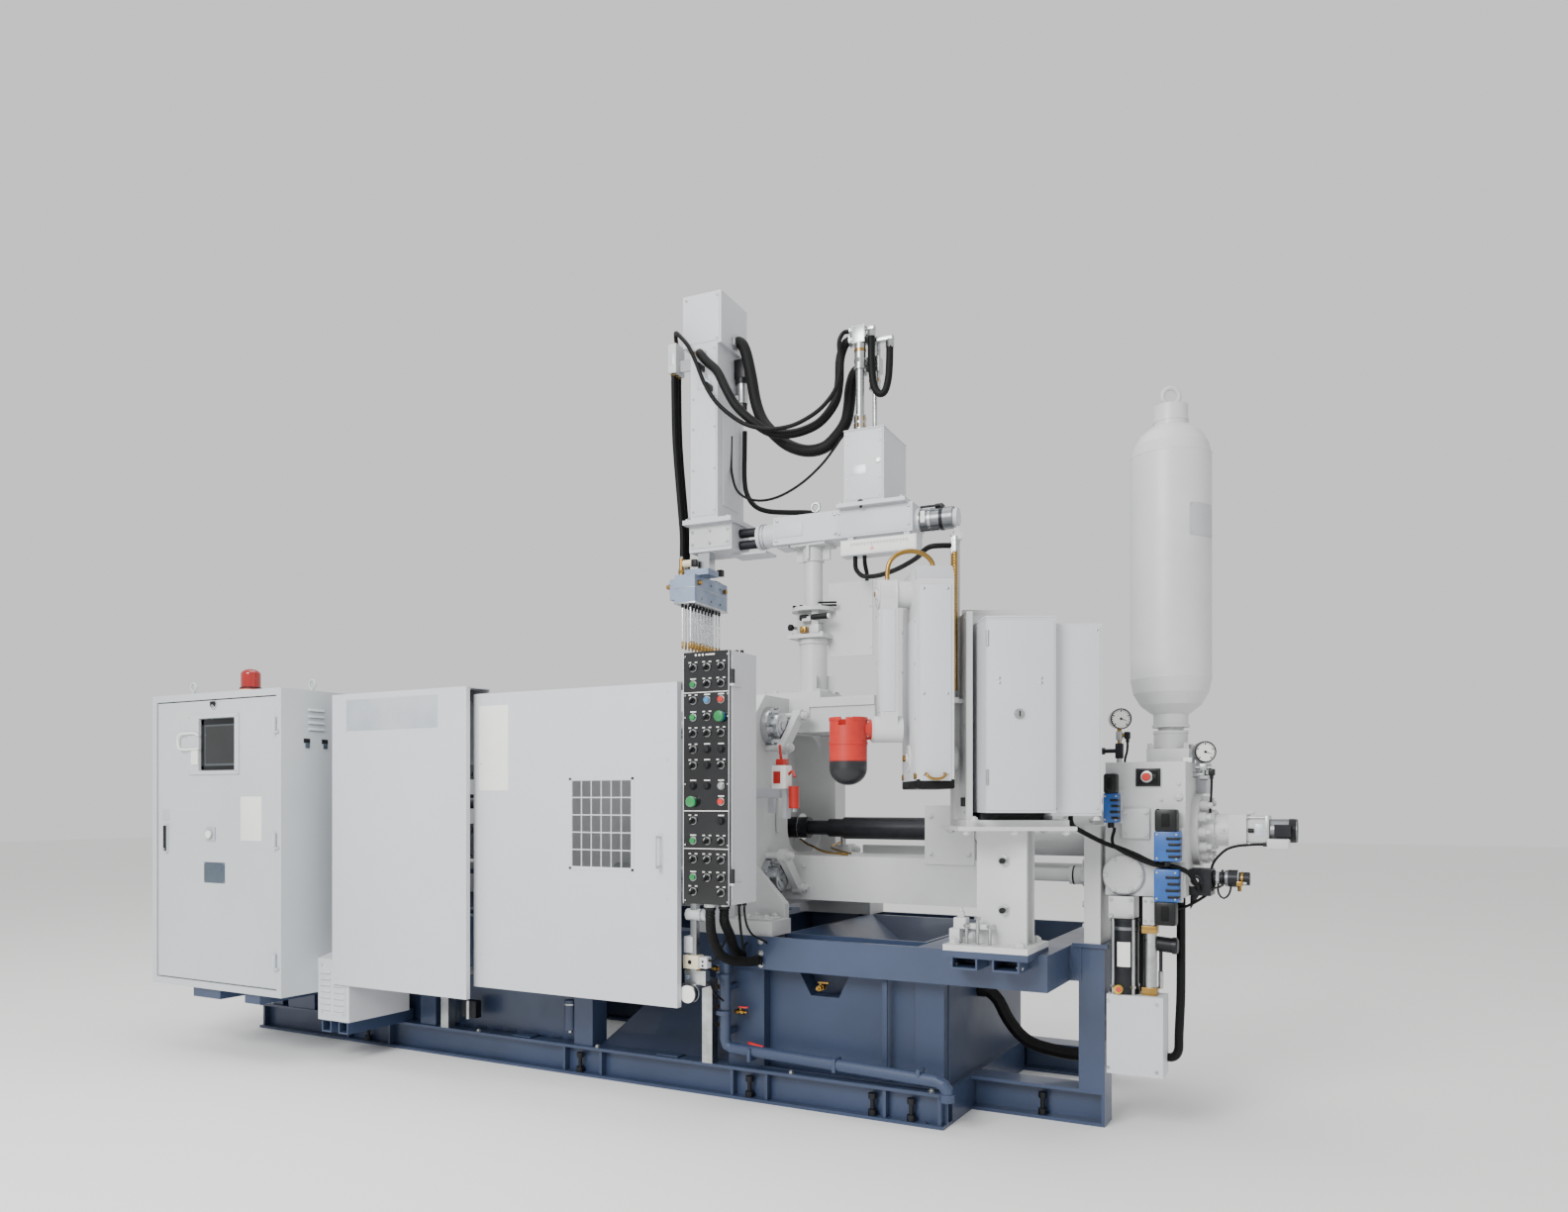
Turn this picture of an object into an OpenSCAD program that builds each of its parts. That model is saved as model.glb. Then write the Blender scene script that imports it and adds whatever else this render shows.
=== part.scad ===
// Cold-chamber die casting machine, one frame: +X to the injection end, -Y operator side, +Z up.
// Origin: floor level, centre of the foundation-hole rectangle, on the machine centreline.

/* [Base] */
// Length of the wide base
base_length = 3600; // [3200:10:4000]
// Depth of the base, front rail face to rear rail face
base_depth = 1150; // [1140:2:1180]
// Height of the lower rails
rail_height = 125; // [100:5:160]
// Width of the rail flanges
rail_flange = 100; // [90:5:120]
// Plate thickness of the rails
plate_t = 12; // [8:1:16]
// Underside of the upper beams
beam_z = 509; // [490:1:530]
// Height of the upper beams
beam_height = 124; // [110:1:140]
// How far the narrow extension runs past the wide base
nose_length = 480; // [450:10:540]
// Front face of the narrow extension
nose_front_y = -255; // [-275:5:-240]
// Width of the extension rails and posts
nose_rail_w = 120; // [100:5:140]
// Foundation hole diameter
foundation_hole_d = 26; // [18:1:34]
// Foundation holes from the rail ends
foundation_end = 60; // [50:2:70]
// Foundation hole inset from the rail face
foundation_inset = 25; // [20:1:36]

/* [Clamp unit] */
// Tie bar spacing, both ways
bar_pitch = 610; // [590:5:630]
// Tie bar diameter
bar_d = 80; // [60:1:90]
// Height of the platen centre
platen_z = 1145; // [1130:5:1160]
// Width of the platens
platen_w = 860; // [820:10:900]
// Thickness of the fixed platen
fixed_platen_t = 190; // [170:5:220]
// Injection-side face of the fixed platen
fixed_platen_x = 975; // [965:5:985]
// Depth of the rounded recess in the fixed platen
recess_depth = 120; // [60:5:130]
// Die space between the platens as built
die_space = 560; // [520:10:600]
// Thickness of the moving platen
moving_platen_t = 200; // [180:5:240]
// Thickness of the end platen
end_platen_t = 180; // [160:5:220]
// Outer face of the end platen
end_platen_x = -1520; // [-1560:10:-1480]
// Toggle pin diameter
toggle_pin_d = 70; // [50:2:80]
// Height of the outer toggle pins from the centre
toggle_spread = 230; // [210:5:250]

/* [Injection unit] */
// Height of the shot axis
shot_z = 1035; // [1025:5:1045]
// Diameter of the shot ram
ram_d = 92; // [80:1:104]
// Diameter of the plunger rod
plunger_d = 60; // [50:1:70]
// Plunger tip diameter
tip_d = 74; // [60:1:80]
// Accumulator bottle diameter
bottle_d = 276; // [260:2:300]
// Accumulator bottle length over the shell
bottle_length = 1055; // [900:5:1150]
// Injection block length along the machine
block_length = 264; // [256:2:280]
// Injection block front face
block_y0 = -235; // [-245:5:-225]
// Injection block rear face
block_y1 = 235; // [200:5:260]
// Injection block underside
block_z0 = 818; // [800:2:830]
// Injection block top
block_z1 = 1284; // [1260:2:1320]

/* [Guards] */
// Front face of the fixed cover
cover_y = -930; // [-940:2:-928]
// Left end of the fixed cover
cover_x0 = -860; // [-880:5:-855]
// Right end of the fixed cover
cover_x1 = -79; // [-85:1:-40]
// Bottom of the fixed cover
cover_z0 = 345; // [320:5:370]
// Top of the fixed cover
cover_z1 = 1612; // [1604:2:1640]
// Front face of the sliding door
door_y = -868; // [-872:1:-864]
// Left edge of the sliding door, closed
door_x0 = -95; // [-105:1:-85]
// Right edge of the sliding door, closed
door_x1 = 890; // [870:1:892]
// Bottom of the sliding door
door_z0 = 390; // [370:2:420]
// Top of the sliding door
door_z1 = 1585; // [1575:1:1595]
// Thickness of the sliding door
door_t = 28; // [24:1:30]
// Sheet thickness of the guards
sheet_t = 4; // [3:1:6]

/* [Control cabinet] */
// Left side of the cabinet
cab_x0 = -1865; // [-1900:5:-1840]
// Right side of the cabinet
cab_x1 = -967; // [-990:1:-960]
// Front of the cabinet
cab_y0 = -1112; // [-1130:2:-1100]
// Back of the cabinet
cab_y1 = -620; // [-640:5:-610]
// Bottom of the cabinet
cab_z0 = 300; // [280:5:320]
// Top of the cabinet
cab_z1 = 1636; // [1620:2:1660]
// Cabinet wall thickness
cab_wall = 12; // [8:1:16]

/* [Sprayer] */
// Column position along the machine
column_x = 1028; // [1015:1:1040]
// Turn of the sprayer about its column
spray_turn = 3.5; // [0:0.5:6]
// Lower column tube diameter
column_d = 116; // [100:2:126]
// Upper column tube diameter
mast_d = 78; // [70:2:90]
// Centre height of the beam
arm_z = 2296; // [2280:2:2320]
// Height of the beam box
arm_h = 117; // [110:1:120]
// Width of the beam box
arm_w = 150; // [140:2:160]
// Guide rod diameter
guide_d = 40; // [34:1:42]
// Length of the lift ram
ram_length = 945; // [900:5:960]

/* [Ladler] */
// Ladler stand past the end of the wide base
stand_gap = 210; // [200:2:220]
// Ladler stand position across the machine
stand_y = -550; // [-560:5:-540]
// Turn of the ladler about its stand
ladle_turn = 30; // [26:1:34]
// Height of the lower ladle pivot
link_z0 = 1293; // [1280:2:1310]
// Height of the upper ladle pivot
link_z1 = 1852; // [1836:2:1864]
// Height of the cup pivot
cup_z = 1392; // [1380:2:1404]
// Ladle cup outside diameter
cup_d = 128; // [116:2:134]

/* [Hidden] */
$fn = 48;
eps = 0.01;
seat = 0.3;
hx = base_length / 2;
hy = base_depth / 2;
beam_top = beam_z + beam_height;
nose_x = hx + nose_length;
foundation_pitch_x = base_length - 2 * foundation_end;
foundation_pitch_y = base_depth - 2 * foundation_inset;
frame_end = hx + 348;
frame_cap = frame_end + plate_t;
c_top = platen_z + platen_w / 2;
leg_x0 = nose_x - 70;
leg_x1 = nose_x - 14;
nose_top = 644;
block_x0 = nose_x - 2;
block_x1 = block_x0 + block_length;
bottle_x = block_x0 + 182;
carrier_x0 = hx - 204;
carrier_x1 = hx - 8;
tank_x1 = hx - 23;

navy = [0.13, 0.19, 0.32];
white = [0.88, 0.88, 0.87];
steel = [0.6, 0.61, 0.62];
black = [0.05, 0.05, 0.06];

module blk(low, high) translate(low) cube(high - low);

module rod_x(x0, x1, y, z, d) translate([x0, y, z]) rotate([0, 90, 0]) cylinder(h = x1 - x0, d = d);

module rod_y(y0, y1, x, z, d) translate([x, y0, z]) rotate([-90, 0, 0]) cylinder(h = y1 - y0, d = d);

module rod_z(z0, z1, x, y, d) translate([x, y, z0]) cylinder(h = z1 - z0, d = d);

// Prism along X from a list of [y, z] points
module prism_x(x0, x1, points) translate([x0, 0, 0]) rotate([90, 0, 90]) linear_extrude(x1 - x0) polygon(points);

// Prism along Y from a list of [x, z] points
module prism_y(y0, y1, points) translate([0, y1, 0]) rotate([90, 0, 0]) linear_extrude(y1 - y0) polygon(points);

// The same piece on the operator side and on the far side
module both_sides() for (s = [-1, 1]) scale([1, s, 1]) children();

// Soft curve through a list of points, as points on it
function curve(p, n) = [for (i = [0 : len(p) - 2], k = [0 : n - 1])
    let (a = p[max(i - 1, 0)], b = p[i], c = p[i + 1], d = p[min(i + 2, len(p) - 1)], t = k / n)
    0.5 * (2 * b + (c - a) * t + (2 * a - 5 * b + 4 * c - d) * t * t + (3 * b - a - 3 * c + d) * t * t * t),
    p[len(p) - 1]];

function unit(v) = v / norm(v);

// Round bar along a list of points, with flat ends and even sides
module sweep(p, d, sides = 10) {
    count = len(p);
    rings = [for (i = [0 : count - 1])
        let (t = unit(p[min(i + 1, count - 1)] - p[max(i - 1, 0)]),
            u = unit(cross(t, abs(t[1]) < 0.8 ? [0, 1, 0] : [1, 0, 0])), v = cross(t, u))
        for (k = [0 : sides - 1]) p[i] + d / 2 * (cos(k * 360 / sides) * u + sin(k * 360 / sides) * v)];
    body = [for (i = [0 : count - 2], k = [0 : sides - 1]) let (a = i * sides, j = (k + 1) % sides)
        each [[a + k, a + sides + j, a + j], [a + k, a + sides + k, a + sides + j]]];
    first = [for (k = [0 : sides - 1]) k];
    last = [for (k = [0 : sides - 1]) count * sides - 1 - k];
    polyhedron(rings, concat(body, [first, last]));
}

module hose(points, d, n = 3) sweep(curve(points, n), d, 8);

// Base

module rail(x0, x1, y0, y1) {
    web = (y1 - y0) / 2 - plate_t / 2;
    blk([x0, y0, 0], [x1, y1, plate_t]);
    blk([x0, y0, rail_height - plate_t], [x1, y1, rail_height]);
    blk([x0, y0 + web, plate_t - eps], [x1, y1 - web, rail_height - plate_t + eps]);
}

rib_xs = [12 - hx, -1180, -905, 125, 315, 940, 1090, hx - 230, hx - 24];
cross_xs = [-hx, -600, 600, hx - 100];
module lower_rails() color(navy) difference() {
    union() {
        both_sides() {
            rail(-hx, hx, -hy, rail_flange - hy);
            for (x = rib_xs)
                blk([x, plate_t - hy, plate_t - eps],
                    [x + plate_t, rail_flange - plate_t - hy, rail_height - plate_t + eps]);
        }
        for (x = cross_xs)
            blk([x, rail_flange - hy - eps, 0], [x + 100, hy - rail_flange + eps, rail_height]);
    }
    for (s = [-1, 1], t = [-1, 1])
        translate([s * foundation_pitch_x / 2, t * foundation_pitch_y / 2, -1]) cylinder(h = plate_t + 2, d = foundation_hole_d);
}

post_xs = [60 - hx, -700, 183];
post_w = 95;
beam_inset = 15;
beam_w = 100;
open_x = 1040;
module base_posts() color(navy) both_sides() for (x = post_xs)
    blk([x, beam_inset - hy, rail_height], [x + post_w, beam_inset + beam_w - hy, beam_z]);

// Box beams under the clamp unit, open channels under the injection unit
module upper_frame() color(navy) {
    both_sides() {
        blk([60 - hx, beam_inset - hy, beam_z], [open_x, beam_inset + beam_w - hy, beam_top]);
        blk([open_x - eps, -hy, beam_z], [frame_end, 20 - hy, beam_top]);
        blk([open_x - eps, 20 - hy - eps, beam_z], [frame_end, beam_inset + beam_w - hy, beam_z + plate_t]);
    }
    for (x = [60 - hx, -700, 700])
        blk([x, beam_inset - hy, beam_z], [x + 100, hy - beam_inset, beam_top]);
    for (x = [hx - 100, frame_end - 88])
        blk([x, 19 - hy, beam_z + plate_t - eps], [x + 88 + eps, hy - 19, beam_top]);
    blk([frame_end, -hy, beam_z], [frame_cap, hy, beam_top]);
}

module nose_frame() color(navy) {
    y0 = nose_front_y;
    y1 = nose_front_y + nose_rail_w;
    rail(hx, nose_x, y0, y1);
    blk([nose_x - plate_t, y0, 0], [nose_x, y1, rail_height]);
    blk([nose_x - 90, y0, rail_height - eps], [nose_x, y1, 517]);
    blk([nose_x - 80, y0, 517 - eps], [nose_x, y1, nose_top - 14]);
    blk([nose_x - 110, -267, nose_top - 14 - eps], [nose_x + 12, 267, nose_top]);
    blk([frame_cap, -260, beam_z], [nose_x - 79, -200, nose_top - 14]);
    blk([frame_cap, 200, beam_z], [nose_x, 260, nose_top - 14]);
    rail(hx, hx + 340, hy - nose_rail_w, hy);
    blk([hx + 250, hy - nose_rail_w, rail_height - eps], [hx + 340, hy, beam_z]);
}

arm_left_x = -1590;
arm_right_x = -1231;
module cabinet_arms() color(navy) {
    for (a = [[arm_left_x, 190], [arm_right_x, 100]]) {
        blk([a[0], cab_y0 + 20, 255], [a[0] + a[1], 60 - hy, cab_z0]);
        blk([a[0], 5 - hy, rail_height], [a[0] + a[1], 60 - hy, 255 + eps]);
    }
    for (x = [-955, -850]) difference() {
        blk([x, -905, rail_height], [x + 60, 60 - hy, rail_height + 55]);
        blk([x + 7, -906, rail_height + 7], [x + 53, -hy, rail_height + 48]);
    }
}

bracket_z = 622;
module ladler_bracket() color(navy) {
    for (x = [hx + 70, hx + 210]) {
        blk([x, -700, bracket_z - 37], [x + 90, -hy, bracket_z - 30]);
        for (w = [x, x + 84]) blk([w, -700, bracket_z - 37], [w + 6, -hy, bracket_z + eps]);
    }
    blk([hx + 38, -690, bracket_z], [hx + 325, -hy, beam_top + eps]);
    blk([hx + 38, -690, beam_top], [hx + 325, -420, beam_top + plate_t]);
}

module base_skirts() color(navy) both_sides()
    blk([post_xs[1] + post_w, 83 - hy, rail_height], [post_xs[2], 97 - hy, beam_z]);

// Folded plate under the die space that throws castings and drips to both sides
module casting_chute() color(navy) {
    w = hy - rail_flange + 15;
    prism_x(post_xs[2] + post_w, 915,
        [[-w, rail_height], [0, 300], [w, rail_height], [w - 20, rail_height], [0, 292], [20 - w, rail_height]]);
}

module oil_tank() color([0.14, 0.2, 0.34]) {
    difference() {
        union() {
            blk([1071, -480, rail_height], [hx - 129, 480, beam_z]);
            blk([915, -530, rail_height], [1071 + eps, 530, beam_z]);
            blk([hx - 129 - eps, -500, rail_height], [tank_x1, 500, beam_z]);
        }
        prism_y(-481, -390, [[hx - 610, beam_z + 1], [hx - 390, beam_z + 1], [hx - 438, 410], [hx - 554, 410]]);
    }
    blk([160 - hx, -490, rail_height], [-720, 490, 400]);
}

module drip_tray() color([0.15, 0.22, 0.37]) difference() {
    blk([hx - 690, -430, beam_z], [hx - 110, 430, beam_top]);
    hull() {
        blk([hx - 675, -415, beam_top], [hx - 125, 415, beam_top + 1]);
        blk([hx - 470, -300, beam_z + 10], [hx - 330, 300, beam_top]);
    }
}

pipe_d = 44;
pipe_y = -602;
module drain_pipe() color([0.2, 0.28, 0.45]) {
    sweep([[940, pipe_y, 600], [940, pipe_y, 235], [948, pipe_y, 213], [968, pipe_y, 204], [hx - 10, pipe_y - 10, 178],
        [hx + 12, pipe_y - 10, 170], [hx + 26, pipe_y - 10, 152], [hx + 28, pipe_y - 10, 125]], pipe_d, 16);
    for (c = [[250, -530], [420, -530], [560, beam_inset - hy]]) blk([928, pipe_y + 10, c[0]], [952, c[1], c[0] + 20]);
    rod_z(112, 140, hx + 28, pipe_y - 10, 52);
}

module leveller(x, y) {
    rod_z(plate_t, 80, x, y, 16);
    rod_z(plate_t, 34, x, y, 32);
    rod_z(72, 92, x, y, 30);
}

module levelling_bolts() color(black) {
    for (x = [-1046, 209, 1020, hx - 273, hx - 125], s = [-1, 1]) leveller(x, s * (hy - 22));
    leveller(hx + 257, nose_front_y + 24);
    leveller(hx + 257, hy - 24);
}

// Control cabinet

rim = 30;
door_gap = 5;
leaf_x = cab_x1 - rim - door_gap;
hinge_y = cab_y0 - 9;
hinge_zs = [430, 950, 1450];
hinge_h = 60;
pin_d = 10;
knuckle_d = 18;

module hinge_pin(x, y, z, tall) {
    rod_z(z - 8, z + tall - 4, x, y, pin_d);
    rod_z(z - 8, z - seat, x, y, knuckle_d);
}

module hinge_bore(x, y, z, tall) rod_z(z - 1, z + tall - 3, x, y, pin_d + 0.1);

module cabinet_shell() color([0.86, 0.86, 0.84]) {
    difference() {
        blk([cab_x0, cab_y0, cab_z0], [cab_x1, cab_y1, cab_z1]);
        blk([cab_x0 + cab_wall, cab_y0 + 40, cab_z0 + cab_wall], [cab_x1 - cab_wall, cab_y1 - cab_wall, cab_z1 - cab_wall]);
        blk([cab_x0 + rim, cab_y0 - 1, cab_z0 + rim], [cab_x1 - rim, cab_y0 + 41, cab_z1 - rim]);
    }
    blk([cab_x0 + 60, cab_y1 - cab_wall - 20, cab_z0 + 60], [cab_x1 - 60, cab_y1 - cab_wall + eps, cab_z1 - 60]);
    for (z = hinge_zs) {
        hinge_pin(leaf_x, hinge_y, z, hinge_h);
        blk([leaf_x, hinge_y - 3, z - 8], [cab_x1 - 10, cab_y0 + eps, z - seat]);
    }
    for (p = [[-1650, 62], [-1050, 234]]) translate([p[0], cab_y0 + p[1], cab_z1]) {
        rod_z(-eps, 18, 0, 0, 16);
        translate([0, 0, 38]) rotate([90, 0, 0]) rotate_extrude() translate([19, 0]) circle(d = 10, $fn = 16);
    }
}

screen_low = [-1601, 1268];
screen_high = [-1247, 1539];
screen_rim = 78;
module cabinet_door() color([0.85, 0.85, 0.83]) {
    front = cab_y0 + 6;
    difference() {
        union() {
            blk([cab_x0 + rim + door_gap, front, cab_z0 + rim + door_gap],
                [leaf_x, front + 18, cab_z1 - rim - door_gap]);
            blk([screen_low[0], front - 8, screen_low[1]], [screen_high[0], front + eps, screen_high[1]]);
        }
        blk([screen_low[0] + screen_rim, front - 9, screen_low[1] + 16],
            [screen_high[0] - 26, front + 10, screen_high[1] - 18]);
    }
    difference() {
        for (z = hinge_zs) {
            rod_z(z, z + hinge_h, leaf_x, hinge_y, knuckle_d);
            blk([leaf_x - 16, hinge_y, z], [leaf_x - 5, front + 1, z + hinge_h]);
        }
        for (z = hinge_zs) hinge_bore(leaf_x, hinge_y, z, hinge_h);
    }
    rod_y(front - 8, front + 2, -1424, 1573, 26);
    blk([-1775, front - 12, 911], [-1750, front + 1, 1040]);
    blk([-1473, front - 3, 970], [-1417, front + eps, 1026]);
    rod_y(front - 14, front, -1445, 998, 34);
}

module cabinet_screen() color([0.1, 0.12, 0.14])
    blk([screen_low[0] + screen_rim + 5, cab_y0 + 9, screen_low[1] + 20],
        [screen_high[0] - 31, cab_y0 + 16, screen_high[1] - 22]);

module beacon() color([0.7, 0.08, 0.06]) translate([-1495, -860, cab_z1]) {
    rod_z(0, 40, 0, 0, 104);
    rod_z(40 - eps, 108, 0, 0, 90);
    translate([0, 0, 108]) scale([1, 1, 0.6]) sphere(d = 90, $fn = 32);
}

box_low = [-967, -915, 180];
box_high = [-772, -560, 451];
module transformer_box() color([0.84, 0.84, 0.82]) {
    z = box_high[2];
    prism_x(box_low[0], box_high[0],
        [[box_low[1], rail_height + 55], [box_high[1], rail_height + 55], [box_high[1], z + 84], [box_low[1], z]]);
    blk([box_low[0] + 20, box_low[1] - 4, 205], [box_high[0] - 20, box_low[1] + eps, z - 20]);
}

// Guards

rail_y0 = door_y + door_t + 6;
rail_y1 = rail_y0 + 34;
strip_y = door_y + 76;
module fixed_cover() color(white) {
    blk([cover_x0, cover_y, cover_z0], [cover_x1, cover_y + sheet_t, cover_z1]);
    blk([cover_x1 - sheet_t, cover_y + eps, cover_z0], [cover_x1, cover_y + 22, cover_z1]);
    blk([cover_x0, cover_y + eps, cover_z0], [cover_x0 + sheet_t, cover_y + 7, cover_z1]);
    blk([cover_x0, cover_y + 7 - eps, box_high[2] + 94], [cover_x0 + sheet_t, strip_y + sheet_t, cover_z1]);
    blk([cover_x0, cover_y + eps, cover_z1 - sheet_t], [cover_x1, strip_y + sheet_t, cover_z1]);
    blk([cover_x0, strip_y, 1300], [cover_x1, strip_y + sheet_t, cover_z1]);
}

lower_rail_z = 430;
upper_rail_z = 1560;
module guard_frame() color([0.3, 0.31, 0.33]) {
    back = rail_y1 - eps;
    blk([-765, rail_y0, lower_rail_z], [930, rail_y1, lower_rail_z + 25]);
    blk([-845, rail_y0, upper_rail_z], [930, rail_y1, upper_rail_z + 30]);
    blk([905, back, lower_rail_z], [930, back + 25, upper_rail_z + 30]);
    rod_y(rail_y0, rail_y1, 913, lower_rail_z + 8, 62);
    for (x = [-560, 820]) {
        blk([x, back, lower_rail_z], [x + 45, -hy + eps, lower_rail_z + 25]);
        blk([x, -hy, rail_height], [x + 45, 45 - hy, lower_rail_z + 25]);
    }
    for (x = [-700, -200]) blk([x, back, upper_rail_z + 4], [x + 40, strip_y, upper_rail_z + 24]);
    for (x = [-800, -140]) {
        blk([x, strip_y + sheet_t, 1480], [x + 50, beam_inset - hy + eps, 1530]);
        blk([x, beam_inset - hy, beam_top], [x + 50, beam_inset - hy + 50, 1530]);
    }
}

window_low = [406, 894];
window_high = [686, 1228];
roller_d = 60;
module slide_door() color(white) {
    inner = door_y + sheet_t - 1;
    difference() {
        blk([door_x0, door_y, door_z0], [door_x1, door_y + door_t, door_z1]);
        blk([door_x0 + sheet_t, door_y + sheet_t, door_z0 - 1], [door_x1 - sheet_t, door_y + door_t + 1, door_z1 - sheet_t]);
        blk([window_low[0], door_y - 1, window_low[1]], [window_high[0], door_y + door_t + 1, window_high[1]]);
    }
    step_x = (window_high[0] - window_low[0]) / 6;
    step_z = (window_high[1] - window_low[1]) / 5;
    for (i = [0 : 6])
        rod_z(window_low[1] - 1, window_high[1] + 1, window_low[0] + i * step_x, door_y + 2, 5, $fn = 8);
    for (i = [0 : 5])
        rod_x(window_low[0] - 1, window_high[0] + 1, door_y + 2, window_low[1] + i * step_z, 5, $fn = 8);
    for (z = [905, 1015]) rod_y(door_y - 40, door_y + 1, 818, z, 12);
    rod_z(899, 1021, 818, door_y - 36, 12);
    for (x = [door_x0 + 90, door_x1 - 90]) {
        rod_y(inner, rail_y1 - 6, x, lower_rail_z + 25 + seat + roller_d / 2, roller_d);
        rod_y(inner, rail_y1 - 6, x, upper_rail_z - seat - 15, 30);
    }
}

pendant_low = [954, -918, 782];
pendant_high = [1146, -733, 1678];
pendant_hinge = [1155, -925];
pendant_zs = [860, 1560];
module control_pendant() color([0.9, 0.9, 0.89]) {
    difference() {
        blk(pendant_low, pendant_high);
        blk(pendant_low + [8, -1, 8], pendant_high - [8, 8, 8]);
    }
    blk([865, pendant_high[1] - eps, 1180], [1000, -690, 1240]);
    blk([865, -691, 1180], [925, -500, 1240]);
    blk([865, -560, foot_top], [925, -500, 1181]);
    for (z = pendant_zs) {
        hinge_pin(pendant_hinge[0], pendant_hinge[1], z, 50);
        blk([pendant_high[0] - eps, -917, z - 8], [1157, -850, z - seat]);
        blk([pendant_high[0] + 1, pendant_hinge[1], z - 8], [1157, -916, z - seat]);
    }
}

module pendant_panel() color(black) {
    blk([pendant_low[0], -930, pendant_low[2]], [pendant_high[0], -920, pendant_high[2]]);
    for (z = pendant_zs) difference() {
        union() {
            rod_z(z, z + 50, pendant_hinge[0], pendant_hinge[1], knuckle_d);
            blk([1140, -930, z], [1155, -921, z + 50]);
        }
        hinge_bore(pendant_hinge[0], pendant_hinge[1], z, 50);
    }
}

module rear_cover() color([0.86, 0.86, 0.85]) {
    blk([-1500, 600, 560], [900, 600 + sheet_t, cover_z1]);
    blk([-1500, 570, cover_z1 - sheet_t], [900, 601, cover_z1]);
    for (x = [-1400, -300, 800]) blk([x, hy - beam_inset, beam_z], [x + 50, 600 + eps, 1500]);
}

// Clamp unit

half = bar_pitch / 2;
module at_bars() for (y = [-half, half], z = [platen_z - half, platen_z + half]) translate([0, y, z]) children();

module platen(x0, x1, w, corner) {
    r = w / 2;
    difference() {
        translate([0, 0, platen_z]) prism_x(x0, x1,
            [[corner - r, -r], [r - corner, -r], [r, corner - r], [r, r - corner],
                [r - corner, r], [corner - r, r], [-r, r - corner], [-r, corner - r]]);
        at_bars() translate([x0 - 1, 0, 0]) rotate([0, 90, 0]) cylinder(h = x1 - x0 + 2, d = bar_d + 0.04);
    }
}

// Recess with four round corners, exact, open to +X
module recess(x0, x1, low, high, r) {
    blk([x0, low[0] + r, low[1]], [x1, high[0] - r, high[1]]);
    blk([x0, low[0], low[1] + r], [x1, high[0], high[1] - r]);
    for (y = [low[0] + r, high[0] - r], z = [low[1] + r, high[1] - r]) rod_x(x0, x1, y, z, 2 * r);
}

fixed_x0 = fixed_platen_x - fixed_platen_t;
foot_top = beam_top + 57;
platen_low = platen_z - platen_w / 2;
module fixed_platen() color(white) {
    difference() {
        union() {
            difference() {
                platen(fixed_x0, fixed_platen_x, platen_w, 90);
                recess(fixed_platen_x - recess_depth, fixed_platen_x + 1, [-142, 930], [180, 1430], 110);
            }
            rod_x(fixed_x0 - 30, fixed_x0 + 87, 0, shot_z, 150);
        }
        rod_x(fixed_x0 - 31, fixed_x0 + 88, 0, shot_z, tip_d + 0.1);
    }
    both_sides() {
        blk([fixed_x0 - 20, beam_inset - hy, beam_top], [fixed_platen_x + 145, -400, foot_top]);
        blk([fixed_x0, -430, foot_top - 1], [fixed_platen_x, -360, platen_low + 60]);
        prism_y(-430, -396, [[fixed_platen_x - 1, foot_top - 1], [fixed_platen_x + 135, foot_top - 1],
            [fixed_platen_x + 135, foot_top + 57], [fixed_platen_x - 1, foot_top + 200]]);
    }
}

nut_t = 60;
module tie_bars() color(steel) at_bars() rotate([0, 90, 0]) {
    translate([0, 0, end_platen_x - nut_t - 20]) cylinder(h = fixed_platen_x - end_platen_x + 2 * nut_t + 22, d = bar_d);
    translate([0, 0, fixed_platen_x]) cylinder(h = nut_t / 2, d = bar_d + 80);
    translate([0, 0, fixed_platen_x]) cylinder(h = nut_t, d = bar_d + 30);
    translate([0, 0, end_platen_x - nut_t]) cylinder(h = nut_t, d = bar_d + 60);
}

moving_x1 = fixed_x0 - die_space;
moving_x0 = moving_x1 - moving_platen_t;
end_x1 = end_platen_x + end_platen_t;
pin_reach = 90;
lug_d = 124;

// Lugs with a bore for one toggle pin, from face x to the pin at distance reach
module lugs(x, reach, z, spans) for (y = spans) difference() {
    union() {
        blk([min(x, x + reach), y[0], z - lug_d / 2], [max(x, x + reach), y[1], z + lug_d / 2]);
        rod_y(y[0], y[1], x + reach, z, lug_d);
    }
    rod_y(y[0] - 1, y[1] + 1, x + reach, z, toggle_pin_d + 0.04);
}

module moving_platen() color([0.84, 0.84, 0.83]) {
    platen(moving_x0, moving_x1, platen_w, 110);
    both_sides() blk([moving_x0 - 20, -540, beam_top], [moving_x1, -340, platen_low + 60]);
    for (s = [-1, 1]) lugs(moving_x0 + eps, -pin_reach, platen_z + s * toggle_spread, [[-105, -65], [65, 105]]);
}

module end_platen() color([0.84, 0.84, 0.83]) {
    platen(end_platen_x, end_x1, platen_w, 110);
    both_sides() blk([end_platen_x, -540, beam_top], [end_x1, -340, platen_low + 60]);
    for (s = [-1, 1]) lugs(end_x1 - eps, pin_reach, platen_z + s * toggle_spread, [[-150, -110], [-60, 60], [110, 150]]);
    rod_x(end_platen_x - 190, end_platen_x, 0, platen_z, 230);
    rod_x(end_platen_x - 30, end_platen_x, 0, platen_z, 290);
}

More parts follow.
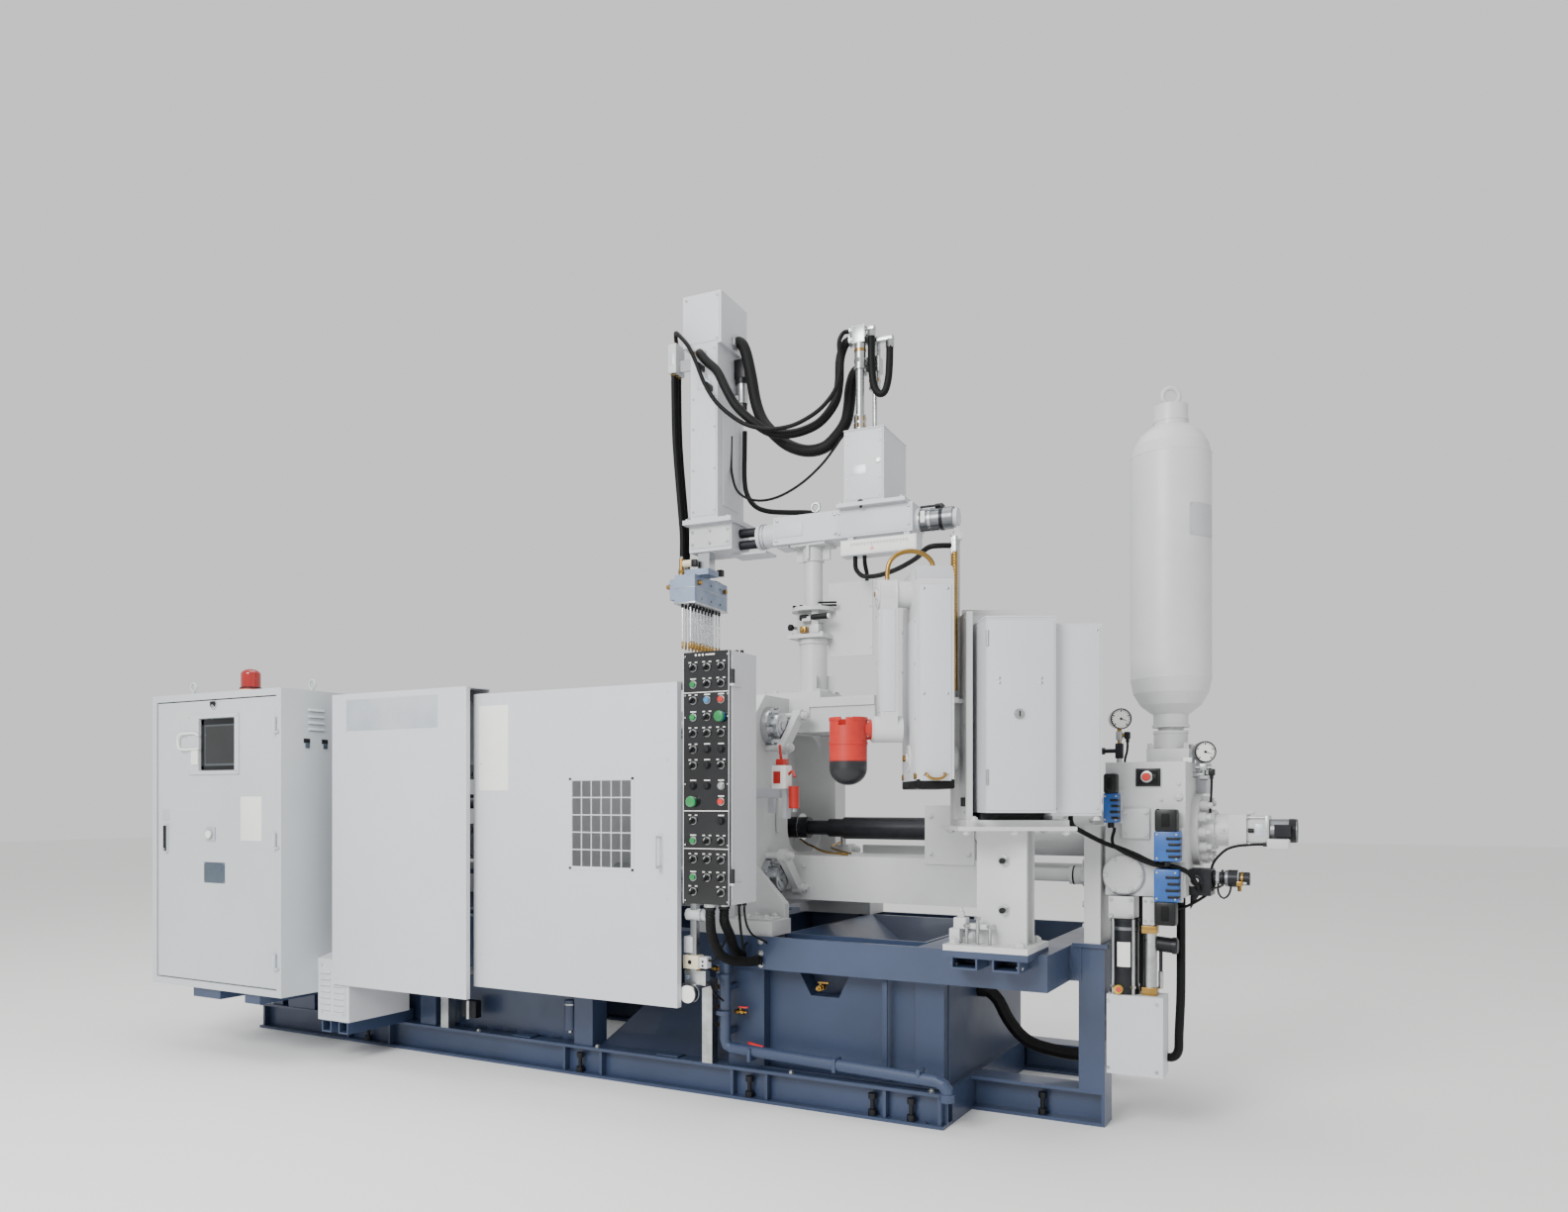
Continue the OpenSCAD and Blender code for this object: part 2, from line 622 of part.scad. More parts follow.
// Toggle: one link plate between two pins a and b, given as [x, z]
module link(a, b, eye_a, eye_b, w, y) {
    v = b - a;
    translate([a[0], 0, a[1]]) rotate([0, -atan2(v[1], v[0]), 0]) {
        blk([0, y[0], -w / 2], [norm(v), y[1], w / 2]);
        rod_y(y[0], y[1], 0, 0, eye_a);
        rod_y(y[0], y[1], norm(v), 0, eye_b);
    }
}

rear_pin = [end_x1 + pin_reach, toggle_spread];
front_pin = [moving_x0 - pin_reach, toggle_spread];
knee = [rear_pin[0] + 0.55 * (front_pin[0] - rear_pin[0]), toggle_spread - 15];
cross_x = knee[0] - 240;
horn = [cross_x + 20, 140];
cross_pin = [cross_x + 100, 55];
module toggle_links() color([0.5, 0.5, 0.52]) for (s = [-1, 1]) translate([0, 0, platen_z]) scale([1, 1, s]) {
    $fn = 24;
    for (y = [[-105, -65], [65, 105]]) {
        link(rear_pin, knee, 118, 118, 84, y);
        prism_y(y[0], y[1], [[horn[0] - 150, 195], [horn[0] - 26, 128], [horn[0] + 26, 128], [horn[0] + 130, 195]]);
        rod_y(y[0], y[1], horn[0], horn[1], 60);
    }
    for (y = [[-150, -110], [110, 150]]) link(knee, front_pin, 118, 118, 84, y);
    for (y = [[-60, -20], [20, 60]]) link(horn, cross_pin, 56, 56, 40, y);
    for (p = [rear_pin, knee, front_pin]) {
        rod_y(-165, 165, p[0], p[1], toggle_pin_d);
        for (y = [-165, 151]) rod_y(y, y + 14, p[0], p[1], toggle_pin_d + 20);
    }
    rod_y(-112, 112, horn[0], horn[1], 36);
}

// Crosshead on its two guide rods, with the clamp cylinder rod
module crosshead() color([0.46, 0.46, 0.48]) translate([0, 0, platen_z]) {
    blk([cross_x - 70, -215, -36], [cross_x - 15, 215, 36]);
    blk([cross_x - 16, -20, -cross_pin[1] - 26], [cross_pin[0], 20, cross_pin[1] + 26]);
    for (s = [-1, 1]) rod_y(-20, 20, cross_pin[0], s * cross_pin[1], 52);
    rod_x(end_x1, cross_x - 69, 0, 0, 64);
    for (y = [-190, 190]) {
        rod_x(end_x1, knee[0], y, 0, 36);
        rod_x(cross_x - 78, cross_x - 7, y, 0, 62);
    }
}

// Injection unit

beam_hi = 925;
arm_lo = 1433;
carrier_top = 1131;
module c_frame() color(white) {
    difference() {
        union() {
            blk([fixed_platen_x, -190, 745], [hx, 190, beam_hi]);
            blk([carrier_x0, -196, beam_hi - 21], [carrier_x1, 196, carrier_top]);
            blk([fixed_platen_x, -130, arm_lo], [fixed_platen_x + 383, 130, c_top]);
            blk([1190, 150, beam_hi - 1], [carrier_x0 + 1, 190, 960]);
        }
        both_sides() blk([fixed_platen_x + 95, -131, arm_lo - 1], [fixed_platen_x + 384, -122, c_top - 38]);
        rod_x(carrier_x0 - 1, carrier_x1 + 1, 0, shot_z, ram_d + 0.1);
    }
    difference() {
        blk([fixed_platen_x, 180, beam_hi - 1], [fixed_platen_x + 73, 287, 1434]);
        at_bars() rod_x(fixed_platen_x - 1, fixed_platen_x + 74, 0, 0, bar_d + 110);
    }
    for (s = [-1, 1], t = [-1, 1]) scale([1, s, 1]) nut_strap(t);
}

// Diagonal strap that locks one tie-bar nut, on two spacers from the platen face
module nut_strap(t) {
    a = [-200, 352];
    b = [-334, 215];
    x = fixed_platen_x + nut_t + 5;
    turn = atan2(b[1] - a[1], b[0] - a[0]);
    translate([0, 0, platen_z]) scale([1, 1, t]) {
        translate([x, a[0], a[1]]) rotate([turn, 0, 0]) blk([0, 0, -22], [28, norm(b - a), 22]);
        for (p = [a, b]) {
            rod_x(fixed_platen_x, x + 5, p[0], p[1], 26);
            rod_x(x - 3, x + 31, p[0], p[1], 52);
            rod_x(x + 30, x + 44, p[0], p[1], 34);
        }
    }
}

module plunger_rod() color([0.07, 0.07, 0.08]) {
    tip_x = fixed_x0 + 15;
    rod_x(tip_x, tip_x + 81, 0, shot_z, tip_d);
    difference() {
        rod_x(tip_x + 80, tip_x + 210, 0, shot_z, 90);
        for (s = [-1, 1]) scale([1, s, 1]) blk([tip_x + 105, -50, shot_z - 9], [tip_x + 185, -36, shot_z + 9]);
    }
    rod_x(tip_x + 209, tip_x + 306, 0, shot_z, plunger_d);
    rod_x(tip_x + 305, tip_x + 376, 0, shot_z, (plunger_d + ram_d) / 2);
    rod_x(tip_x + 375, hx + 130, 0, shot_z, ram_d);
}

module shot_cylinder() color([0.86, 0.86, 0.84]) {
    difference() {
        rod_x(carrier_x1, leg_x0, 0, shot_z, 190);
        rod_x(carrier_x1 - 1, leg_x0 - 20, 0, shot_z, ram_d + 14);
    }
    for (y = [-165, 165]) {
        rod_x(carrier_x1, leg_x0, y, shot_z - 15, 44);
        rod_x(hx, leg_x0, y, 879, 50);
        rod_x(leg_x0 - 70, leg_x0, y, 879, 66);
    }
}

flange_z = 1045;
module injection_block() color([0.87, 0.87, 0.85]) {
    blk([leg_x0, -260, nose_top], [leg_x1, 260, 1060]);
    blk([leg_x1 - 1, -200, block_z0 + 30], [block_x0 + 1, 200, 1050]);
    blk([block_x0, block_y0, block_z0], [block_x1, block_y1, block_z1]);
    rod_x(block_x1 - 1, block_x1 + 24, 0, flange_z, 258);
    rod_x(block_x1 + 23, block_x1 + 70, 0, flange_z, 144);
    rod_x(block_x1 + 69, block_x1 + 118, 0, flange_z, 115);
    blk([block_x1 + 117, -56, flange_z - 56], [block_x1 + 173, 56, flange_z + 56]);
    blk([block_x1 + 172, -40, flange_z - 40], [block_x1 + 243, 40, flange_z + 40]);
    blk([bottle_x - 55, -55, block_z1 - 1], [bottle_x + 55, 55, block_z1 + 52]);
    rod_z(block_z1 + 51, block_z1 + 108, bottle_x, 0, 116);
    rod_y(block_y0 - 14, block_y0 + 1, block_x0 + 63, block_z0 + 72, 136);
    blk([block_x0 + 56, block_y0 - 12, 1017], [block_x0 + 150, block_y0 + 1, 1123]);
}

module injection_motor() color(black) {
    rod_x(block_x1 + 243, block_x1 + 330, 0, flange_z, 80);
    blk([block_x1 + 262, -76, flange_z - 20], [block_x1 + 312, -36, flange_z + 22]);
}

module relief_valve() color([0.12, 0.12, 0.13]) {
    blk([block_x1, -150, block_z0 + 2], [block_x1 + 70, -30, block_z0 + 93]);
    rod_x(block_x1 + 69, block_x1 + 188, -90, block_z0 + 62, 44);
    rod_x(block_x1 + 120, block_x1 + 150, -90, block_z0 + 62, 60);
}

module injection_valves() color([0.1, 0.25, 0.55]) {
    blk([block_x0 + 5, block_y0 - 75, 1068], [block_x0 + 55, block_y0, 1244]);
    blk([block_x0 + 172, block_y0 - 75, 943], [block_x0 + 256, block_y0, 1120]);
    blk([block_x0 + 172, block_y0 - 75, block_z0 - 93], [block_x0 + 252, block_y0, 916]);
}

bottle_z0 = 1455;
module accumulator_bottle() color([0.9, 0.9, 0.89]) translate([bottle_x, 0, 0]) {
    r = bottle_d / 2;
    top = bottle_length;
    rod_z(block_z1 + 108, 1416, 0, 0, 87);
    rod_z(1415, bottle_z0 + 12, 0, 0, 119);
    translate([0, 0, bottle_z0]) rotate_extrude($fn = 64)
        polygon([[0, 0], [50, 0], [r - 66, 14], [r - 34, 40], [r - 10, 82], [r, 130], [r, top - 120],
            [r - 10, top - 76], [r - 32, top - 38], [r - 62, top - 13], [54, top - 2], [0, top]]);
    rod_z(bottle_z0 + top - 10, bottle_z0 + top + 69, 0, 0, 118);
    translate([0, 0, bottle_z0 + top + 106]) rotate([90, 0, 30]) rotate_extrude() translate([30, 0]) circle(d = 17, $fn = 16);
}

module gauge(x, y, z) translate([x, y, z]) rotate([90, 0, 30]) {
    cylinder(h = 26, d = 72, center = true);
    translate([0, 0, 12]) cylinder(h = 3, d = 76);
}

module pressure_gauges() color([0.2, 0.2, 0.21]) {
    rod_z(block_z1, block_z1 + 130, block_x0 + 22, -100, 14);
    gauge(block_x0 + 22, -100, block_z1 + 161);
    rod_x(block_x1, block_x1 + 34, -40, 1242, 16);
    rod_z(1234, 1294, block_x1 + 33, -40, 16);
    gauge(block_x1 + 33, -40, 1322);
}

pump_z = 479;
module charge_pump() color([0.06, 0.06, 0.07]) {
    x = block_x0 + 68;
    y = block_y0 - 10;
    blk([x - 51, y - 25, 739], [x + 34, y + 70, block_z0]);
    rod_z(pump_z, 740, x, y, 92);
    for (dx = [-43, 43], dy = [-43, 43]) rod_z(pump_z, 740, x + dx * 0.78, y + dy * 0.78, 12);
    rod_z(pump_z, 721, x + 84, y, 42);
    blk([x + 62, y - 20, 720], [x + 100, y + 45, block_z0]);
}

module pump_box() color([0.78, 0.78, 0.75]) {
    blk([block_x0 + 17, block_y0 - 65, 205], [block_x0 + 202, block_y0 + 50, pump_z]);
    blk([nose_x, nose_front_y + 30, 300], [block_x0 + 18, nose_front_y + 90, 360]);
}

module injection_hoses() color([0.03, 0.03, 0.03]) {
    x = block_x0 + 238;
    hose([[x, -150, block_z0 - seat], [x, -150, 780], [x, -150, 560], [x, -158, 460], [x, -180, 390],
        [x, -196, 340], [x, -200, 305], [x - 1, -200, 291], [x - 5, -200, 277], [x - 13, -200, 266],
        [x - 24, -200, 260.5], [x - 30, -200, 260], [x - 36 + seat, -200, 260]], 30);
    p = tank_x1;
    hose([[p + seat, -100, 420], [p + 20, -100, 420], [p + 42, -99, 418], [p + 76, -90, 384], [p + 110, -72, 310],
        [p + 165, -48, 240], [p + 240, -18, 205], [p + 380, 20, 190], [nose_x - 20, 40, 250], [nose_x + 36, 48, 350],
        [nose_x + 58, 50, 450], [nose_x + 62, 50, 600], [nose_x + 62, 50, 780],
        [nose_x + 62, 50, block_z0 - seat]], 50);
}

// Sprayer, modelled along its own arm with Z from the arm axis, and turned about the column

module sprayer() translate([column_x, 0, arm_z]) rotate([0, 0, spray_turn]) children();

module spray_column() color(white) translate([column_x, 0, 0]) {
    head_z = arm_z - arm_h / 2;
    blk([-208, -110, c_top], [82, 110, c_top + 28]);
    rod_z(c_top + 27, 1836, 0, 0, column_d);
    rod_z(1835, head_z, 0, 0, mast_d);
    blk([-85, -80, 1835], [80, 80, 1851]);
    rod_z(1950, 1966, 0, 0, 185);
    for (a = [0 : 90 : 270]) rotate([0, 0, a + 30]) {
        blk([column_d / 2 - 4, -5, c_top + 27], [column_d / 2 + 34, 5, c_top + 105]);
        blk([mast_d / 2 - 2, -14, 1850], [mast_d / 2 + 30, 14, 1951]);
    }
    rod_z(head_z - 74, head_z, 0, 0, mast_d + 14);
    blk([-80, -62, head_z - 12], [80, 62, head_z]);
    for (a = [0 : 90 : 270]) rotate([0, 0, a])
        blk([mast_d / 2, -6, head_z - 68], [a % 180 == 0 ? 78 : 60, 6, head_z - 11]);
    blk([60, 20, 1758], [262, 26, 2070]);
    blk([30, 20, 1880], [61, 26, 1940]);
}

beam_x0 = -155;
beam_x1 = 457;
tube_x0 = -238;
deck = arm_h / 2 + 15;
module spray_beam() color([0.9, 0.9, 0.89]) sprayer() {
    low = -arm_h / 2;
    difference() {
        union() {
            blk([beam_x0, -arm_w / 2, low], [beam_x1, arm_w / 2, -low]);
            rod_x(tube_x0, beam_x0 + 1, 0, 0, 100);
            rod_x(tube_x0 - 14, tube_x0 + 1, 0, 0, 106);
        }
        for (z = [-26, 26]) rod_x(tube_x0 - 15, tube_x0 + 605, 0, z, guide_d + 0.1);
    }
    blk([145, -arm_w / 2 - 37, -low - eps], [beam_x1 - 20, arm_w / 2 + 120, deck]);
    rod_x(beam_x1 - 1, beam_x1 + 14, 0, -7, 104);
    rod_x(beam_x1 + 13, beam_x1 + 150, 0, -7, 88);
    rod_x(beam_x1 + 149, beam_x1 + 170, 0, -7, 70);
    blk([163, -arm_w / 2 - 35, -143], [485, 45 - arm_w / 2, -80]);
    for (x = [180, 420]) blk([x, 5 - arm_w / 2, -81], [x + 24, 40 - arm_w / 2, low + eps]);
    blk([beam_x0 + 5, -50, low - 8], [beam_x0 + 60, 50, low + eps]);
}

box_top = deck + 295;
module spray_control_box() color([0.89, 0.89, 0.88]) sprayer()
    blk([178, -107, deck], [348, 190, box_top]);

rods_x0 = -345;
module spray_rods() color(black) sprayer()
    for (z = [-26, 26]) rod_x(rods_x0, tube_x0 + 420, 0, z, guide_d);

ram_w = 56;
ram_x = -488;
ram_y = -50;
housing_top = 831;
top_box = 1056;
module spray_housing() color([0.9, 0.9, 0.89]) sprayer() {
    c = ram_w / 2 + 0.5;
    difference() {
        union() {
            blk([-552, -90, -56], [rods_x0, 90, 67]);
            blk([-565, -130, 59], [-330, 130, 79]);
            blk([-524, -130, 79 - eps], [-393, 130, housing_top]);
            blk([-562, -130, housing_top - eps], [-376, 130, top_box]);
        }
        blk([ram_x - c, ram_y - c, -57], [ram_x + c, ram_y + c, housing_top + 20]);
        blk([-566, ram_y - 16, 190], [ram_x, ram_y + 16, housing_top + 10]);
    }
    blk([-392, 5, -66], [-225, 120, -56]);
}

arm_top = ram_length - 131;
module spray_ram() color([0.75, 0.76, 0.78]) sprayer() {
    w = ram_w / 2;
    blk([ram_x - w, ram_y - w, -131], [ram_x + w, ram_y + w, arm_top]);
    blk([-621, ram_y - 9, arm_top - 50], [ram_x - w + 1, ram_y + 9, arm_top]);
    blk([-660, ram_y - 40, arm_top - 60], [-620, ram_y + 40, arm_top + 70]);
}

head_z0 = -278;
head_z1 = -157;
module spray_head() color([0.6, 0.62, 0.66]) sprayer() {
    blk([-605, -130, head_z0], [-505, 190, head_z1]);
    blk([-605, ram_y - 50, head_z1 - eps], [ram_x + 34, ram_y + 50, -131]);
    for (y = [-112, 104]) blk([-640, y, head_z0 + 18], [-604, y + 68, head_z1 - 12]);
}

module spray_nozzles() color([0.8, 0.81, 0.82]) sprayer()
    for (i = [0 : 9], x = [-575, -535]) rod_z(head_z0 - 205, head_z0, x, -112 + i * 31, 7, $fn = 12);

module lift_hoses() color(black) sprayer() for (i = [-1 : 1])
    hose([[-640, ram_y + i * 26, arm_top - 60 - seat], [-640, ram_y + i * 26, arm_top - 90],
        [-640, ram_y + i * 26, arm_top - 120],
        [-634, ram_y + i * 26, 450], [-606, ram_y - 6 + i * 26, 170], [-592, ram_y - 8 + i * 27, 30],
        [-592, ram_y - 8 + i * 27, -60], [-592, ram_y - 8 + i * 27, seat - 131]], 22);

stand_p = [232, -64];
stand_q = [273, 3];
module spray_pipe_stand() color([0.75, 0.75, 0.76]) sprayer() {
    translate([stand_p[0], stand_p[1], box_top]) {
        rod_z(0, 71, 0, 0, 48);
        rod_z(70, 262, 0, 0, 34);
        rod_z(261, 366, 0, 0, 46);
        blk([-27, -24, 365], [26, 24, 435]);
    }
    translate([stand_q[0], stand_q[1], box_top]) {
        rod_z(0, 197, 0, 0, 19);
        rod_z(196, 402, 0, 0, 46);
        blk([-28, -28, 260], [26, 28, 322]);
    }
}

// Hoses between the lift, the carrier and the column, each a fixed loop as photographed
module spray_hoses() color([0.03, 0.03, 0.03]) sprayer() {
    up = arm_top - 814;
    hose([[-640, -50, 884.3 + up], [-640, -50, 892 + up], [-640, -50, 900 + up], [-630, -75, 925],
        [-606, -115, 915], [-570, -155, 885], [-505, -186, 812], [-459, -196, 724], [-420, -200, 634],
        [-370, -200, 554], [-310, -196, 492], [-239, -186, 440], [-159, -178, 410], [-88, -172, 402],
        [-8, -165, 412], [83, -157, 454], [143, -149, 514], [166, -140, 574], [170, -128, 650],
        [158, -114, 735], [164, -84, 784], [178, -76, 790], [190, -76, 790], [204.7, -76, 790]], 18);
    hose([[-470, -130.3, 790], [-470, -140, 790], [-470, -150, 790], [-452, -172, 772], [-420, -178, 735],
        [-369, -182, 684], [-320, -191, 594], [-280, -183, 524], [-219, -165, 460], [-147, -141, 406],
        [-75, -118, 392], [6, -103, 402], [76, -95, 434], [132, -88, 504], [146, -80, 584],
        [146, -70, 680], [160, -62, 738], [176, -62, 754], [190, -62, 754], [204.7, -62, 754]], 38);
    hose([[-375.7, 0, 870], [-364, 0, 870], [-352, 0, 870], [-332, -2, 850], [-312, -5, 800],
        [-287, -12, 700], [-260, -24, 584], [-221, -37, 494], [-161, -50, 424], [-92, -62, 364],
        [-3, -74, 324], [77, -76, 326], [128, -62, 370], [160, -40, 430], [168, -22, 500],
        [170, -8, 580], [184, 2, 640], [212, 3, 660], [228, 3, 660], [244.7, 3, 660]], 50);
}

// Ladler, modelled facing the operator and turned about its stand

module ladler() translate([hx + stand_gap, stand_y, 0]) rotate([0, 0, ladle_turn]) children();

stand_top = 1050;
module ladle_stand() color([0.9, 0.9, 0.89]) {
    z = beam_top + plate_t;
    x = hx + 38;
    blk([x, -690, z], [x + 287, -420, z + 20]);
    blk([x + 87, stand_y - 40, z + 19], [x + 257, stand_y - 20, stand_top]);
    blk([x + 87, stand_y + 40, z + 19], [x + 257, stand_y + 60, stand_top]);
    blk([x + 152, stand_y - 21, z + 19], [x + 192, stand_y + 41, stand_top]);
    ladler() blk([-190, -150, stand_top], [200, 150, stand_top + 14]);
    ladler() blk([-160, -130, stand_top + 13], [180, 130, stand_top + 35]);
}

module ladle_column() color([0.9, 0.9, 0.89]) ladler() {
    z = stand_top + 35;
    blk([-150, -90, z], [-130, 110, 1780]);
    blk([-168, 20, z], [-149, 90, 2085]);
    blk([-131, 60, z], [180, 80, 1810]);
    rod_x(-198, -167, 0, link_z0, 82);
}

module ladle_control_box() color([0.89, 0.89, 0.88]) ladler() {
    blk([-110, -200, 1110], [115, 60, 1742]);
    blk([115, -150, 1100], [280, 60, 1730]);
}

link_p0 = -325;
link_p1 = -203;
arm_p0 = -430;
arm_p1 = -372;
module ladle_body_link() color([0.9, 0.9, 0.89]) ladler() {
    blk([link_p0, -150, 1189], [link_p1, 150, 1880]);
    blk([link_p0, -120, 1879], [link_p1, 150, 1925]);
    rod_x(link_p1 - 1, -198 - seat, 0, link_z0, 82);
    rod_x(arm_p1 + seat, link_p0 + 1, 0, link_z1, 90);
}

module ladle_arm() color([0.9, 0.9, 0.89]) ladler() {
    blk([arm_p0, -45, cup_z], [arm_p1, 45, link_z1]);
    rod_x(arm_p0, arm_p1, 0, link_z1, 100);
    rod_x(arm_p0 - 20, arm_p1 + 20, 0, cup_z, 90);
}

module ladle_cup() color([0.75, 0.13, 0.08]) ladler() {
    translate([arm_p0 - 40 - cup_d / 2, 0, cup_z]) difference() {
        union() {
            rod_z(-132, 38, 0, 0, cup_d);
            translate([0, 0, -132]) scale([1, 1, 0.9]) sphere(d = cup_d);
            rod_x(cup_d / 2 - 30, cup_d / 2 + 20 - seat, 0, 0, 70);
        }
        rod_z(-130, 39, 0, 0, cup_d - 12);
        blk([-39, -70, 12], [-15, -30, 39]);
    }
}

module ladle_conduits() color([0.65, 0.5, 0.2]) ladler() {
    for (q = [102, 122]) rod_z(1500, 2040, -187, q, 16);
    blk([-197, 90, 1480], [-168, 134, 1501]);
    blk([-197, 79, 1480], [-168, 91, 1501]);
}

lower_rails();
base_posts();
upper_frame();
nose_frame();
cabinet_arms();
ladler_bracket();
base_skirts();
casting_chute();
oil_tank();
drip_tray();
drain_pipe();
levelling_bolts();
cabinet_shell();
cabinet_door();
cabinet_screen();
beacon();
transformer_box();
fixed_cover();
guard_frame();
slide_door();
control_pendant();
pendant_panel();
rear_cover();
fixed_platen();
tie_bars();
moving_platen();
end_platen();
toggle_links();
crosshead();
c_frame();
plunger_rod();
shot_cylinder();
injection_block();
injection_motor();
relief_valve();
injection_valves();
accumulator_bottle();
pressure_gauges();
charge_pump();
pump_box();
injection_hoses();
spray_column();
spray_beam();
spray_control_box();
spray_rods();
spray_housing();
spray_ram();
spray_head();
spray_nozzles();
lift_hoses();
spray_hoses();
spray_pipe_stand();
ladle_stand();
ladle_column();
ladle_control_box();
ladle_body_link();
ladle_arm();
ladle_cup();
ladle_conduits();
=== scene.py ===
import math

import bmesh
import bpy
from mathutils import Matrix, Vector


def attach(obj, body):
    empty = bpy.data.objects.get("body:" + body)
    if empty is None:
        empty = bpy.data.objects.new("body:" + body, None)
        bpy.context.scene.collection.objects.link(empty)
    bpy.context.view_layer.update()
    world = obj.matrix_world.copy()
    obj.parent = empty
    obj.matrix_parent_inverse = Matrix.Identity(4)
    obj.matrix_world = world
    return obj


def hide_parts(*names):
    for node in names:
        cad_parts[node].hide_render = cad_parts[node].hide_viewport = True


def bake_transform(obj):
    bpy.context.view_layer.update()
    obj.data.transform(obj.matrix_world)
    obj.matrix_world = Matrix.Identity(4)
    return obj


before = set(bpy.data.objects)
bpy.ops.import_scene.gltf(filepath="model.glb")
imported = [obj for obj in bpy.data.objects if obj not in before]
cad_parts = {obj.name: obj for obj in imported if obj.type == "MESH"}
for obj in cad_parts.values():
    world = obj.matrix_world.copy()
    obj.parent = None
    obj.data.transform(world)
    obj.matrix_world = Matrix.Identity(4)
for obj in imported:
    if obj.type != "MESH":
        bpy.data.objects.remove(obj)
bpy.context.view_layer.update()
front, back, right, left, up, down = (0, -1, 0), (0, 1, 0), (1, 0, 0), (-1, 0, 0), (0, 0, 1), (0, 0, -1)

# Camera, as solved from the photograph
view = {"lens": 26.0, "shift": (0.0385, 0.124), "place": (3.11, -4.373, 1.15), "yaw": 30.0}
cameraData = bpy.data.cameras.new("photoCamera")
cameraData.lens = view["lens"]
cameraData.sensor_width = 36.0
cameraData.shift_x, cameraData.shift_y = view["shift"]
cameraData.clip_end = 100.0
camera = bpy.data.objects.new("photoCamera", cameraData)
camera.location = view["place"]
camera.rotation_euler = (math.radians(90.0), 0.0, math.radians(view["yaw"]))
bpy.context.scene.collection.objects.link(camera)
bpy.context.scene.camera = camera


def linear(code):
    parts = [int(code[i : i + 2], 16) / 255 for i in (0, 2, 4)]
    return tuple(p / 12.92 if p < 0.04045 else ((p + 0.055) / 1.055) ** 2.4 for p in parts) + (1.0,)


def addNode(tree, kind, inputs=(), **settings):
    node = tree.nodes.new(kind)
    for key, value in settings.items():
        setattr(node, key, value)
    for key, value in dict(inputs).items():
        if isinstance(value, bpy.types.NodeSocket):
            tree.links.new(value, node.inputs[key])
        else:
            node.inputs[key].default_value = value
    return node


grain = {"detail": 6.0, "rough": 0.62, "fineScale": 60, "fineDetail": 3.0, "relief": 0.0008}  # of every finish


def makeFinish(
    name, base, worn, rough, metal=0.0, scale=3.0, stretch=(1, 1, 1), bump=0.1, spread=0.16, coat=0.0, gloss=0.5
):
    material = bpy.data.materials.new(name)
    material.use_nodes = True
    tree = material.node_tree
    tree.nodes.clear()
    place = addNode(tree, "ShaderNodeTexCoord").outputs["Object"]
    place = addNode(tree, "ShaderNodeMapping", {"Vector": place, "Scale": stretch}).outputs["Vector"]
    broad = addNode(
        tree, "ShaderNodeTexNoise",
        {"Vector": place, "Scale": scale, "Detail": grain["detail"], "Roughness": grain["rough"]},
    )
    fine = addNode(
        tree, "ShaderNodeTexNoise",
        {"Vector": place, "Scale": scale * grain["fineScale"], "Detail": grain["fineDetail"]},
    )
    share = addNode(
        tree, "ShaderNodeMapRange",
        {"Value": broad.outputs["Fac"], "From Min": 0.5 - spread, "From Max": 0.5 + spread},
    )
    colour = addNode(tree, "ShaderNodeMix", {"Factor": share.outputs["Result"]}, data_type="RGBA")
    colour.inputs["A"].default_value = linear(base)
    colour.inputs["B"].default_value = linear(worn)
    roughness = addNode(
        tree, "ShaderNodeMapRange",
        {"Value": broad.outputs["Fac"], "From Min": 0.3, "From Max": 0.7, "To Min": rough[0], "To Max": rough[1]},
    )
    shader = addNode(
        tree, "ShaderNodeBsdfPrincipled",
        {
            "Base Color": colour.outputs["Result"], "Roughness": roughness.outputs["Result"], "Metallic": metal,
            "Coat Weight": coat, "Specular IOR Level": gloss,
        },
    )
    if bump:
        relief = addNode(
            tree, "ShaderNodeBump", {"Height": fine.outputs["Fac"], "Strength": bump, "Distance": grain["relief"]}
        )
        tree.links.new(relief.outputs["Normal"], shader.inputs["Normal"])
    out = addNode(tree, "ShaderNodeOutputMaterial")
    tree.links.new(shader.outputs["BSDF"], out.inputs["Surface"])
    return material


navy = makeFinish("navyEnamel", "35435f", "2d3a54", (0.3, 0.46), scale=2.2, bump=0.16, coat=0.15)  # base frame
tankNavy = makeFinish("tankEnamel", "313f5b", "29364f", (0.36, 0.5), scale=1.6, bump=0.12)  # tank sheet
lightEnamel = makeFinish("lightEnamel", "cdcfd3", "c5c7cc", (0.38, 0.5), scale=0.9, bump=0.08)  # sheet covers
castEnamel = makeFinish("castEnamel", "cccdcd", "bfc0c1", (0.34, 0.5), scale=2.6, bump=0.3)  # painted castings
paintedShadeEnamel = makeFinish("paintedShadeEnamel", "b9bbc0", "a9acb3", (0.4, 0.55), scale=2.0, bump=0.1)  # painted shade: a darker copy of the light paint, for paint lying in shade
groundSteel = makeFinish(
    "groundSteel", "c9cbcd", "aeb1b5", (0.16, 0.32), metal=1.0, scale=5.0, stretch=(0.3, 1, 1), bump=0.04
)  # tie bars, rams
linkSteel = makeFinish("oiledSteel", "8d9093", "6f7276", (0.28, 0.45), metal=1.0, scale=8.0, bump=0.15)  # toggle
zinc = makeFinish("zincPlate", "c6c8c8", "a2a5a6", (0.25, 0.42), metal=1.0, scale=14.0, bump=0.05)  # bolts, fittings
aluminium = makeFinish("castAluminium", "93a0b4", "7b88a0", (0.34, 0.5), metal=0.7, scale=9.0, bump=0.12)  # spray head
brass = makeFinish("turnedBrass", "ad8a4c", "8c6d38", (0.22, 0.4), metal=1.0, scale=12.0, bump=0.05)  # cocks
